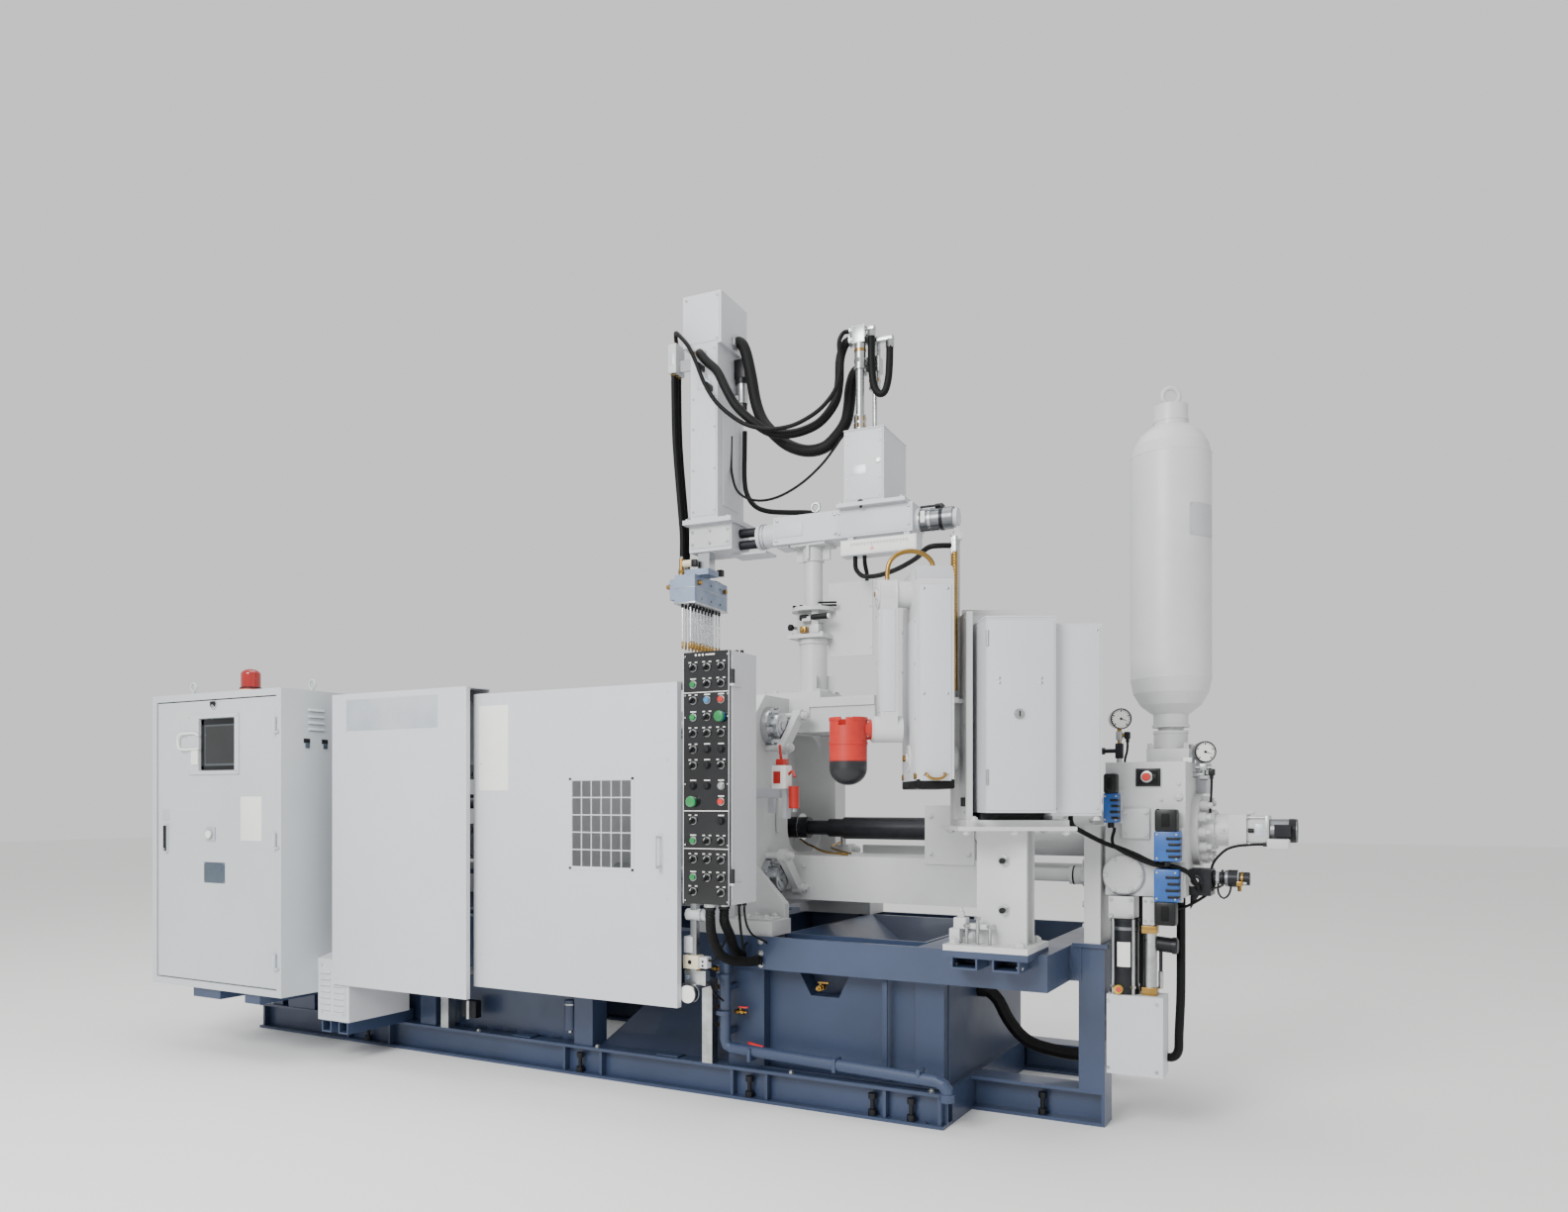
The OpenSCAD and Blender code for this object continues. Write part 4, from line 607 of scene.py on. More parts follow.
# Control pendant
panel = {
    "y": -0.93, "columns": (0.997, 1.0545, 1.112),
    "rows": (
        (1.622, "sss"), (1.563, "gss"), (1.506, "sbr"), (1.446, "gsG"), (1.389, "sss"), (1.331, "skk"),
        (1.275, "sks"), (1.202, "kkw"), (1.146, "T-r"), (1.078, "s-k"), (1.007, "gss"), (0.941, "sss"),
        (0.877, "gss"), (0.826, "s-s"),
    ),
    "lines": (1.534, 1.113, 0.979),
}
caps = {
    "g": buttonGreen, "b": buttonBlue, "r": buttonRed, "w": zinc, "k": blackPlastic, "G": buttonGreen,
    "T": buttonGreen,
}
board = Build()
marks = Build()
y = panel["y"]
for z, row in panel["rows"]:
    for x, kind in zip(panel["columns"], row):
        if kind == "-":
            continue
        wide = kind in "GT"
        board.rod((x, y, z), (x, y - 0.0035, z), 0.0145, zinc if kind != "k" else blackPlastic, 24)
        if kind == "s":
            board.rod((x, y - 0.003, z), (x, y - 0.012, z), 0.0118, blackPlastic, 22)
            board.block(
                (x - 0.0035, y - 0.021, z - 0.0118), (x + 0.0035, y - 0.011, z + 0.0118), blackPlastic, 0.0015,
                (0, 0.7, 0),
            )
            marks.block(
                (x - 0.0008, y - 0.0216, z + 0.002), (x + 0.0008, y - 0.0208, z + 0.0115), whitePlate, 0, (0, 0.7, 0)
            )
            marks.block((x - 0.019, y - 0.0008, z + 0.0175), (x - 0.009, y + 0.0002, z + 0.0215), whitePlate, 0)
            marks.block((x + 0.007, y - 0.0008, z + 0.0175), (x + 0.017, y + 0.0002, z + 0.0215), whitePlate, 0)
        elif wide:
            board.rod((x, y - 0.003, z), (x, y - 0.014, z), 0.011, blackPlastic, 20)
            rings = [(0, 0.017), (0.002, 0.0195), (0.008, 0.0195), (0.011, 0.017), (0.0125, 0.01)]
            board.turned((x, y - 0.012, z), front, rings, caps[kind], 28)
            board.turned(
                (x, y - 0.0035, z), front, [(0, 0.0185), (0.003, 0.0185)], buttonBlue if kind == "G" else zinc, 28
            )
        else:
            rings = [(0, 0.0112), (0.006, 0.0112), (0.0078, 0.0098), (0.0084, 0.006)]
            board.turned((x, y - 0.003, z), front, rings, caps[kind], 24)
            marks.block((x - 0.012, y - 0.0008, z + 0.0175), (x + 0.012, y + 0.0002, z + 0.0215), whitePlate, 0)
for z in panel["lines"]:
    marks.block((0.9585, y - 0.0008, z - 0.0014), (1.1415, y + 0.0002, z + 0.0014), whitePlate, 0)
for k in range(3):
    marks.rod(
        (1.008 + 0.0145 * k, y + 0.0002, 1.667), (1.008 + 0.0145 * k, y - 0.0009, 1.667), 0.0042, whitePlate, 14
    )
marks.block((1.048, y - 0.0008, 1.6645), (1.086, y + 0.0002, 1.6695), whitePlate, 0)
for x0 in (0.9545, 1.1422):
    marks.block((x0, y - 0.0012, 0.783), (x0 + 0.0028, y + 0.001, 1.677), lightEnamel, 0.0004)
board.done("pendant_buttons", "pendant_front")
marks.done("pendant_marks", "pendant_front")
bolts(
    "pendant_screws", "pendant_front",
    grid((0.9625, 1.1375), (y,), (0.793, 0.992, 1.208, 1.446, 1.525, 1.664), front, 0.0034), zinc, "pan",
)
shell = Build()
shell.block((1.1455, -0.916, 0.8), (1.1485, -0.902, 1.66), lightEnamel, 0.001)  # door seam
for x0, y0, z0, rTop in (
    (1.064, -0.8, 1.678, 0.006), (1.082, -0.8, 1.678, 0.005), (1.102, -0.8, 1.678, 0.007),
    (1.118, -0.79, 1.678, 0.007),
):
    shell.rod((x0, y0, z0), (x0, y0, z0 + 0.016), rTop, blackPlastic, 12)
for x0, y0 in ((1.05, -0.9), (1.078, -0.85)):
    shell.rod((x0, y0, 0.783), (x0, y0, 0.77), 0.024, zinc, 24)
    shell.turned((x0, y0, 0.772), down, [(0, 0.021), (0.012, 0.021)], blackPlastic, 6)
shell.rod((1.112, -0.8, 0.783), (1.112, -0.8, 0.768), 0.009, blackPlastic, 12)
shell.rod((1.128, -0.79, 0.783), (1.128, -0.79, 0.77), 0.008, blackPlastic, 12)
shell.done("pendant_glands", "machine")
pendantHoses = {
    "pendant_hose_front": [
        (1.05, -0.9, 0.763), (1.0495, -0.899, 0.745), (1.047, -0.895, 0.725), (1.036, -0.865, 0.665),
        (1.023, -0.79, 0.592), (1.028, -0.71, 0.556), (1.048, -0.63, 0.542), (1.068, -0.585, 0.541),
        (1.088, -0.5755, 0.541),
    ],
    "pendant_hose_back": [
        (1.078, -0.85, 0.761), (1.0775, -0.849, 0.742), (1.074, -0.843, 0.72), (1.056, -0.8, 0.695),
        (1.024, -0.71, 0.645), (1.006, -0.655, 0.6), (1.0, -0.61, 0.57), (1.0, -0.585, 0.56), (1.0, -0.5755, 0.557),
    ],
}
for name, points in pendantHoses.items():
    hose(name, points, 0.0185, rubber, ribs=0.011, sides=12)
hose(
    "pendant_cable_thin",
    [
        (1.112, -0.8, 0.767), (1.112, -0.8, 0.75), (1.105, -0.78, 0.7), (1.09, -0.74, 0.64), (1.06, -0.67, 0.59),
        (1.03, -0.61, 0.6), (1.02, -0.5755, 0.605),
    ],
    0.005, rubber, sides=8,
)
hose(
    "pendant_cable_side",
    [
        (1.128, -0.79, 0.769), (1.128, -0.79, 0.75), (1.126, -0.77, 0.7), (1.12, -0.72, 0.66), (1.112, -0.66, 0.64),
        (1.108, -0.6, 0.62), (1.106, -0.5755, 0.61),
    ],
    0.004, rubber, sides=8,
)
print("pendant done")


# Base: cocks, pipe clips, bolts and seams
base = {"front": -0.5755, "back": 0.5755, "cockZ": (0.484, 0.413, 0.335, 0.264)}


def cock(build, at, axis, size=1.0, lever=None):
    at, axis = Vector(at), Vector(axis).normalized()
    rings = [
        (0, 0.006), (0.008, 0.006), (0.009, 0.01), (0.02, 0.01), (0.021, 0.0065), (0.028, 0.0065), (0.029, 0.0095)
    ]
    rings += [(0.038, 0.0095), (0.039, 0.005), (0.05, 0.005)]
    build.turned(at, axis, [(a * size, r * size) for a, r in rings], brass, 6)
    if lever:
        top = at + axis * 0.024 * size
        build.rod(top, top + Vector((0, 0, 0.016 * size)), 0.004 * size, brass, 10)
        cap = top + Vector((0, 0, 0.016 * size))
        build.block(
            cap - Vector((0.006, 0.006, 0.001)) * size, cap + Vector((0.03, 0.006, 0.004)) * size, lever, 0.001
        )


trim = Build()
for z in base["cockZ"]:
    cock(trim, (0.88, -0.5, z), left, 1.2)
    trim.rod((0.88, -0.5, z), (0.9, -0.5, z), 0.007, navy, 12)
trim.block((0.893, -0.512, 0.235), (0.917, -0.49, 0.512), navy, 0.003)  # manifold behind the drain pipe
cock(trim, (0.966, -0.575, 0.339), right, 1.1, buttonRed)
cock(trim, (1.3, -0.482, 0.447), front, 1.2, brass)
trim.rod((1.3, -0.478, 0.447), (1.3, -0.483, 0.447), 0.013, brass, 6)
trim.rod((1.028, -0.56, 0.19), (1.028, -0.56, 0.222), 0.01, navy, 14)
lever = [(1.028, -0.56, 0.218), (1.03, -0.575, 0.222), (1.045, -0.59, 0.224), (1.105, -0.6, 0.219)]
trim.pipe(lever, 0.0065, buttonRed, 10)
for x, z in ((0.94, 0.47), (0.94, 0.33)):
    trim.turned((x, -0.613, z), up, [(0, 0.03), (0.016, 0.03)], navy, 24)  # pipe sockets
for x in (1.05, 1.4, 1.72):
    trim.block((x, -0.632, 0.165), (x + 0.014, -0.575, 0.215), navy, 0.003)
for k in range(2):  # hooks welded on the wall behind the doors
    x = -0.62 + 0.4 * k
    hook = [(x, -0.5, 0.5), (x, -0.515, 0.47), (x, -0.52, 0.43), (x + 0.03, -0.52, 0.405), (x + 0.08, -0.5, 0.41)]
    trim.pipe(hook, 0.006, navy, 8)
trim.rod((0.152, -0.545, 0.306), (0.152, -0.545, 0.18), 0.026, navy, 24)
trim.rod((0.152, -0.545, 0.286), (0.152, -0.545, 0.292), 0.0268, zinc, 24)
cock(trim, (0.178, -0.545, 0.265), right, 0.9, None)
trim.rod((0.152, -0.545, 0.18), (0.152, -0.545, 0.168), 0.01, zinc, 12)
trim.block((-0.43, -0.582, 0.185), (-0.345, -0.545, 0.262), blackSteel, 0.004)  # rail clamp
trim.rod((-0.388, -0.584, 0.262), (-0.388, -0.584, 0.18), 0.009, zinc, 12)
for x in (-1.3, -0.95, -0.15, 0.6):
    trim.block((x, -0.566, 0.126), (x + 0.1, -0.5, 0.132), navy, 0.002)
    trim.block((x, 0.5, 0.126), (x + 0.1, 0.566, 0.132), navy, 0.002)
for k in range(9):  # weld beads along the skirt and tank
    trim.rod((-0.58 + 0.085 * k, -0.494, 0.131), (-0.53 + 0.085 * k, -0.494, 0.131), 0.004, navy, 8)
for y in (-0.5305, 0.5305):
    trim.rod((0.93, y, 0.128), (1.77, y, 0.128), 0.0045, tankNavy, 8)
    trim.rod((0.93, y, 0.507), (1.77, y, 0.507), 0.004, tankNavy, 8)
    trim.block((1.555, y - 0.004, 0.135), (1.575, y + 0.004, 0.5), tankNavy, 0.002)
trim.rod((1.7785, -0.45, 0.14), (1.7785, -0.45, 0.5), 0.004, tankNavy, 8)
for x0 in (0.99, 1.18, 1.37, 1.56):  # strainer slots of the drip tray
    # dark strips for the slots: painted shade
    trim.block((x0 + 0.13, -0.05, 0.512), (x0 + 0.19, 0.05, 0.516), paintedShadeInside, 0.001)
trim.rod((1.68, 0.3, 0.509), (1.68, 0.3, 0.6), 0.05, tankNavy, 28)  # filler neck and cap
trim.rod((1.68, 0.3, 0.6), (1.68, 0.3, 0.632), 0.058, blackPlastic, 28)
trim.done("base_fittings", "machine")
bolts(
    "base_bolts", "machine",
    grid((1.08,), (base["front"],), (0.526, 0.57, 0.614), front, 0.0095)
    + grid((-1.62, -1.46, 1.08), (base["back"],), (0.545, 0.6), back, 0.0095)
    + grid((2.222, 2.252), (-0.225, 0.225), (0.6265,), down, 0.013)
    + grid((-1.72, -1.3, -0.35, 0.3, 1.2, 1.75), (-0.556, 0.556), (0.125,), up, 0.01),
    zinc,
)
print("base done")

# Clamp unit
clamp = {"barY": 0.305, "barZ": (0.84, 1.45), "pins": ((-1.25, 0.23), (-0.598, 0.215), (-0.065, 0.23))}
frameTrim = Build()
for y in (-clamp["barY"], clamp["barY"]):
    for z in clamp["barZ"]:  # centre plugs of the tie bars' ends
        frameTrim.rod((-1.6, y, z), (-1.604, y, z), 0.0341, zinc, 20)
        frameTrim.rod((1.037, y, z), (1.041, y, z), 0.0165, zinc, 20)
frameTrim.block((0.978, -0.298, 0.77), (1.0, -0.262, 0.806), castEnamel, 0.003)
frameTrim.block((1.09, 0.085, 0.924), (1.15, 0.125, 0.96), castEnamel, 0.003)  # lubricator foot
frameTrim.rod((1.12, 0.105, 0.958), (1.12, 0.105, 0.998), 0.012, zinc, 16)
frameTrim.rod((1.12, 0.105, 0.998), (1.12, 0.105, 1.022), 0.017, redEnamel, 18)
frameTrim.pipe(
    [(1.12, 0.088, 0.972), (1.12, 0.05, 0.968), (1.12, -0.02, 0.955), (1.16, -0.06, 0.945), (1.24, -0.09, 0.932)],
    0.004, brass, 8,
)
frameTrim.pipe(
    [(0.977, -0.02, 0.985), (1.02, -0.05, 0.968), (1.08, -0.1, 0.955), (1.15, -0.15, 0.94), (1.26, -0.168, 0.931)],
    0.0045, brass, 8,
)
frameTrim.rod((0.975, 0.0, shotZ), (0.9765, 0.0, shotZ), 0.06, groundSteel, 40)  # sleeve seat ring
frameTrim.rod((1.5955, 0.0, shotZ), (1.588, 0.0, shotZ), 0.068, blackSteel, 40)  # ram wiper
frameTrim.rod((1.588, 0.0, shotZ), (1.584, 0.0, shotZ), 0.06, zinc, 40)
for y0, y1 in ((-0.56, -0.43), (0.43, 0.56)):
    frameTrim.block((0.985, y0 + 0.012, 0.69), (1.105, y1 - 0.012, 0.698), castEnamel, 0.002)
frameTrim.block((0.978, -0.252, 1.02), (0.99, -0.228, 1.3), castEnamel, 0.003)
# block coloured as painted shade
frameTrim.block((1.0, -0.3655, 1.1), (1.03, -0.352, 1.19), paintedShadeEnamel, 0.002)
# valve block with two red hand levers and a red stop cylinder, behind the pendant
frameTrim.block((1.09, -0.505, 1.195), (1.15, -0.45, 1.285), whitePlate, 0.004)
frameTrim.block((1.105, -0.5, 1.285), (1.14, -0.455, 1.31), redEnamel, 0.004)
frameTrim.block((1.098, -0.508, 1.215), (1.128, -0.503, 1.262), redEnamel, 0.002)
frameTrim.pipe([(1.118, -0.478, 1.308), (1.12, -0.49, 1.335), (1.128, -0.51, 1.362)], 0.0055, redEnamel, 8)
frameTrim.pipe([(1.15, -0.478, 1.25), (1.172, -0.49, 1.262), (1.19, -0.505, 1.24)], 0.005, redEnamel, 8)
frameTrim.rod((1.172, -0.478, 1.205), (1.172, -0.478, 1.12), 0.02, redEnamel, 20)
frameTrim.rod((1.172, -0.478, 1.12), (1.172, -0.478, 1.105), 0.012, zinc, 14)
frameTrim.rod((1.15, -0.478, 1.17), (1.16, -0.478, 1.17), 0.01, zinc, 12)
# two blocks coloured as painted shade
frameTrim.block((1.118, -0.47, 1.08), (1.136, -0.43, 1.2), paintedShadeEnamel, 0.003)
frameTrim.block((0.975, -0.452, 1.16), (1.1, -0.434, 1.2), paintedShadeEnamel, 0.003)
frameTrim.done("clamp_fittings", "machine")
plates = [(1.0055, y, z) for y in (-clamp["barY"], clamp["barY"]) for z in clamp["barZ"]]
bolts("tie_bar_flange_bolts", "machine", [p for c in plates for p in ring(c, 0.072, 8, right, 0.0065)], zinc, "cap")
bolts(
    "strap_bolts", "machine",
    [
        ((1.084, s * y0, clampZ + t * z0), right, 0.0155)
        for s in (-1, 1)
        for t in (-1, 1)
        for y0, z0 in ((0.2, 0.352), (0.334, 0.215))
    ],
    castEnamel, "hex",
)
bolts(
    "frame_bolts", "machine",
    grid((1.0, 1.08), (-0.53, -0.46, 0.46, 0.53), (0.698,), up, 0.013)
    + grid((1.01, 1.075), (-0.1905,), (0.786, 0.884), front, 0.0095)
    + grid((1.01, 1.075), (0.1905,), (0.786, 0.884), back, 0.0095)
    + grid((1.62, 1.77), (-0.1965,), (0.945, 1.09), front, 0.009)
    + grid((1.62, 1.77), (0.1965,), (0.945, 1.09), back, 0.009)
    + ring((1.596, 0, shotZ), 0.082, 8, left, 0.0075, 0.2),
    castEnamel, "hex",
)
bolts(
    "toggle_bolts", "machine",
    [
        spot
        for t in (1, -1)
        for s in (-1, 1)
        for x, z in clamp["pins"]
        for spot in ring((x, s * 0.1655, clampZ + t * z), 0.022, 3, (0, s, 0), 0.0065)
    ]
    + ring((-1.5505, 0, clampZ), 0.128, 10, left, 0.01)
    + ring((-1.7105, 0, clampZ), 0.095, 8, left, 0.0085),
    zinc, "cap",
)
print("clamp done")

# Ladler's stand
stand = Build()
stand.block((1.845, -0.645, 0.6655), (1.882, -0.605, 0.715), castEnamel, 0.003)
stand.block((1.858, -0.64, 0.714), (1.902, -0.598, 0.752), castEnamel, 0.004)
stand.rod((1.88, -0.62, 0.752), (1.88, -0.62, 0.772), 0.012, castEnamel, 6)
stand.rod((1.88, -0.62, 0.77), (1.88, -0.62, 0.786), 0.0065, castEnamel, 12)
stand.block((1.905, -0.635, 0.715), (1.99, -0.59, 0.732), castEnamel, 0.003)
for x0, top in ((1.943, 0.748), (1.905, 0.722), (1.985, 0.722)):
    stand.rod((x0, -0.64, 0.6655), (x0, -0.64, top), 0.006, zinc, 12)
    stand.rod((x0, -0.64, top), (x0, -0.64, top + 0.01), 0.011, zinc, 6)
for z0 in (0.947, 0.78):
    stand.turned((2.018, -0.5905, z0), front, [(0, 0.021), (0.004, 0.021), (0.0045, 0.016), (0.012, 0.016)], zinc, 6)
    stand.turned((2.018, -0.5905, z0), front, [(0.011, 0.01), (0.026, 0.01), (0.028, 0.0085)], blackSteel, 14)
stand.done("stand_fittings", "machine")
bolts(
    "stand_bolts", "machine",
    grid((1.868, 2.092), (-0.66, -0.452), (0.6655,), up, 0.0165)
    + grid((1.868, 2.092), (-0.66, -0.452), (0.6,), down, 0.01),
    castEnamel, "hex",
)
bolts(
    "stand_top_bolts", "machine",
    [((x0, y0, 1.05), down, 0.0145) for x0 in (-0.16, 0.0, 0.17) for y0 in (-0.13, 0.13)]
    + [((x0, y0, 1.0852), up, 0.0115) for x0 in (-0.14, 0.26) for y0 in (-0.16, 0.16)],
    castEnamel, "hex", scoop,
)
print("stand done")

# Injection unit and its bottle
unit = {"front": -0.235, "axis": 1.045, "tieRod": 0.165}
valveSet = (  # left, right, body from and to, coil from and to
    (2.283, 2.333, 1.073, 1.175, 1.174, 1.244), (2.45, 2.534, 0.943, 1.045, 1.044, 1.12),
    (2.45, 2.53, 0.805, 0.916, 0.725, 0.806),
)
valves = Build()
for x0, x1, low, high, coil0, coil1 in valveSet:
    wide, tall = x1 - x0, high - low
    valves.block((x0 - 0.001, -0.25, low - 0.003), (x1 + 0.006, -0.2354, high + 0.012), castEnamel)
    valves.block((x0, -0.302, low), (x1, -0.249, high), coilBlue, 0.005)
    for i in range(4):
        z0 = low + tall * (0.12 + 0.2 * i)
        valves.block(
            (x0 + (0.56 - 0.08 * (i % 2)) * wide, -0.3065, z0), (x1 + 0.001, -0.262, z0 + 0.009), blackPlastic, 0.002
        )
    valves.block((x0 + 0.03 * wide, -0.308, coil0), (x0 + 0.9 * wide, -0.252, coil1), blackPlastic, 0.009)
    valves.block((x0 + 0.3 * wide, -0.31, coil0 + 0.016), (x0 + 0.62 * wide, -0.3, coil1 - 0.014), rubber, 0.003)
    valves.rod(
        (x0 + 0.46 * wide, -0.282, low - 0.018), (x0 + 0.46 * wide, -0.282, low + 0.002), 0.011, blackPlastic, 12
    )
    for u in (0.12, 0.86):
        for v in (0.1, 0.9):
            valves.rod(
                (x0 + u * wide, -0.304, low + v * tall), (x0 + u * wide, -0.3005, low + v * tall), 0.0038, zinc, 8
            )
valves.pipe(
    [
        (2.458, -0.29, 1.08), (2.455, -0.296, 1.1), (2.458, -0.298, 1.117), (2.468, -0.298, 1.118),
        (2.474, -0.294, 1.104),
    ],
    0.003, rubber, 8,
)
valves.done("injection_valve_set", "machine", replaced=("injection_valves",))

body = Build()
body.block((2.377, -0.2385, 1.196), (2.466, -0.2352, 1.264), castEnamel)
body.block((2.381, -0.244, 1.199), (2.463, -0.238, 1.261), blackPlastic, 0.006)
body.block((2.389, -0.2445, 1.206), (2.455, -0.2425, 1.254), rubber, 0.002)
body.turned((2.418, -0.2435, 1.232), front, [(0, 0.02), (0.003, 0.02), (0.0035, 0.015), (0.01, 0.015)], zinc, 20)
body.turned((2.418, -0.253, 1.232), front, [(0, 0.013), (0.007, 0.014), (0.009, 0.012)], buttonRed, 20)
body.block((2.436, -0.2485, 1.224), (2.45, -0.2435, 1.24), blackPlastic, 0.002)
body.turned((2.3405, -0.2485, 0.891), front, [(0, 0.0665), (0.003, 0.0665), (0.0045, 0.065)], castEnamel, 48)
# ring round the round cover, coloured as painted shade
body.turned((2.3405, -0.235, 0.89), front, [(0, 0.073), (0.0015, 0.073), (0.002, 0.071)], paintedShadeEnamel, 48)
body.block((2.336, -0.2495, 1.019), (2.427, -0.2465, 1.121), castEnamel)
body.block((2.388, -0.072, 1.2835), (2.532, 0.072, 1.336), castEnamel, 0.003)
body.block((2.512, -0.0755, 1.286), (2.541, -0.0715, 1.302), whitePlate, 0.001)
# block behind the gauge, coloured as painted shade
body.block((2.5415, 0.03, 1.175), (2.576, 0.17, 1.326), paintedShadeEnamel, 0.004)
for x0 in (2.399, 2.521):
    for y0 in (-0.061, 0.061):
        body.turned(
            (x0, y0, 1.3355), up, [(0, 0.0115), (0.003, 0.0115), (0.0031, 0.0095), (0.018, 0.0095), (0.02, 0.007)],
            castEnamel, 6,
        )
for i in range(12):  # the tall screws of the round flange
    a = math.radians(3.5 + 30 * i)
    spot = (2.5655, 0.105 * math.cos(a), unit["axis"] + 0.105 * math.sin(a))
    body.turned(
        spot, right,
        [(0, 0.0165), (0.024, 0.0165), (0.0255, 0.0155), (0.026, 0.0105), (0.04, 0.0105), (0.0415, 0.009)],
        castEnamel, 16,
    )
for i in range(4):
    a = math.radians(45 + 90 * i)
    y0, z0 = 0.046 * math.sqrt(2) * math.cos(a), unit["axis"] + 0.046 * math.sqrt(2) * math.sin(a)
    body.rod((2.7145, y0, z0), (2.78, y0, z0), 0.0042, zinc, 10)
    body.turned((2.7145, y0, z0), right, [(0, 0.008), (0.005, 0.008), (0.0055, 0.0065)], zinc, 6)
body.block((2.774, -0.052, 0.993), (2.787, 0.052, 1.097), zinc, 0.002)
body.block((2.743, -0.0412, 1.024), (2.769, -0.0396, 1.068), barePlate, 0.0006)
body.rod((2.72, -0.0425, 1.045), (2.738, -0.0425, 1.045), 0.008, blackPlastic, 12)
body.block((2.716, -0.014, 1.1), (2.736, 0.014, 1.113), castEnamel, 0.003)
body.block((2.631, -0.0605, 1.035), (2.657, -0.056, 1.058), castEnamel, 0.002)
body.rod((2.644, -0.0645, 1.046), (2.644, -0.06, 1.046), 0.005, zinc, 6)
body.rod((2.787, 0, unit["axis"]), (2.8715, 0, unit["axis"]), 0.0405, linkSteel, 40)
body.turned(
    (2.846, 0, unit["axis"]), right, [(0, 0.0418), (0.01, 0.0418), (0.022, 0.0412), (0.0258, 0.037)], blackPlastic, 40
)
body.block((2.782, -0.088, 0.982), (2.851, -0.032, 1.018), castEnamel, 0.003)
body.block((2.785, -0.0905, 0.985), (2.848, -0.087, 1.015), castEnamel)
body.rod((2.768, -0.06, 0.998), (2.783, -0.06, 0.998), 0.007, blackPlastic, 10)
body.rod((2.552, -0.1545, 0.872), (2.552, -0.1495, 0.872), 0.02, castEnamel, 24)
body.turned(
    (2.567, -0.1495, 0.873), front, [(0, 0.02), (0.006, 0.02), (0.0075, 0.018), (0.0076, 0.012)], blackSteel, 28
)
body.turned((2.567, -0.1565, 0.873), front, [(0, 0.008), (0.004, 0.008), (0.006, 0.005)], zinc, 16)
for x0, radius, length, finish in (
    (2.613, 0.027, 0.008, blackSteel), (2.622, 0.024, 0.012, zinc), (2.64, 0.03, 0.006, blackSteel),
    (2.652, 0.028, 0.014, linkSteel), (2.686, 0.026, 0.01, zinc), (2.702, 0.024, 0.008, brass),
    (2.712, 0.023, 0.0165, blackSteel),
):
    body.rod((x0, -0.09, 0.88), (x0 + length, -0.09, 0.88), radius, finish, 8 if finish is zinc else 20)
body.block((2.69, -0.128, 0.856), (2.712, -0.112, 0.872), brass, 0.003)
body.rod((2.7, -0.12, 0.838), (2.7, -0.12, 0.858), 0.007, brass, 6)
body.rod((2.704, -0.12, 0.866), (2.722, -0.12, 0.866), 0.005, zinc, 10)
body.prism(
    [
        (2.545, -0.145, 0.8185), (2.66, -0.145, 0.866), (2.64, -0.145, 0.848), (2.6, -0.145, 0.84),
        (2.572, -0.145, 0.818), (2.545, -0.145, 0.77),
    ],
    (0, 0.012, 0), blackSteel, 0.001,
)
body.done("injection_fittings", "machine")
bolts(
    "cover_bolts", "machine",
    [
        ((x0, -0.253, z0), front, 0.0078)
        for x0, z0 in ((2.31, 0.943), (2.368, 0.944), (2.398, 0.893), (2.368, 0.842), (2.31, 0.839), (2.282, 0.889))
    ]
    + grid((2.345, 2.418), (-0.2494,), (1.031, 1.108), front, 0.007)
    + [
        ((x, unit["front"], z), front, size)
        for x, z, size in ((2.521, 1.162, 0.0125), (2.521, 1.207, 0.006), (2.464, 1.153, 0.0055))
    ]
    + ring((2.612, 0, unit["axis"]), 0.0655, 8, right, 0.0052, 0.3),
    castEnamel, "hex",
)
bolts(
    "shot_cylinder_bolts", "machine",
    ring((2.2097, 0, shotZ), 0.122, 8, left, 0.0125, 0.39)
    + grid((2.2097,), (-0.225, 0.225), (0.7, 0.78, 0.93, 1.02), left, 0.0115),
    castEnamel, "cap",
)
collar = Build()
for y in (-unit["tieRod"], unit["tieRod"]):
    collar.rod((2.153, y, 0.879), (2.159, y, 0.879), 0.0345, blackSteel, 32)
    collar.rod((2.184, y, 0.879), (2.2095, y, 0.879), 0.04, castEnamel, 6, 0.003)
    collar.rod((1.8005, y, 0.879), (1.822, y, 0.879), 0.036, castEnamel, 6, 0.003)
    collar.rod((1.7935, y, 1.02), (1.818, y, 1.02), 0.033, castEnamel, 6, 0.003)
for x0 in (2.236, 2.228):
    collar.rod((x0, -0.2, 0.606), (x0, -0.2, 0.645), 0.01, blackSteel, 12)
collar.done("tie_rod_collars", "machine")
print("injection done")

# Accumulator bottle
bottle = {"radius": 0.138, "plate": (-55, 10), "plateZ": (2.084, 2.198), "seams": (1.585, 2.39)}
shell = Build()
for z0 in bottle["seams"]:
    r = bottle["radius"]
    shell.turned(
        (bottleX, 0, z0), up, [(0, r - 0.001), (0.002, r + 0.0009), (0.007, r + 0.0009), (0.009, r - 0.001)],
        castEnamel, 64,
    )
arc = [math.radians(bottle["plate"][0] + 5 * i) for i in range(bottle["plate"][1] + 1)]
edge = [(r * math.cos(a), r * math.sin(a)) for r, line in ((0.1384, arc), (0.14, arc[::-1])) for a in line]
# plate on the bottle's far side, coloured as painted shade
shell.prism([(bottleX + x0, y0, bottle["plateZ"][0]) for x0, y0 in edge], (0, 0, 0.114), paintedShadeEnamel)
shell.rod((bottleX, 0, 1.3915), (bottleX, 0, 1.402), 0.06, castEnamel, 40)
shell.rod((bottleX, 0, 1.414), (bottleX, 0, 1.424), 0.064, castEnamel, 40)
shell.rod((bottleX, 0, 2.5195), (bottleX, 0, 2.53), 0.061, castEnamel, 40)
shell.done("bottle_seams_and_plate", "machine")
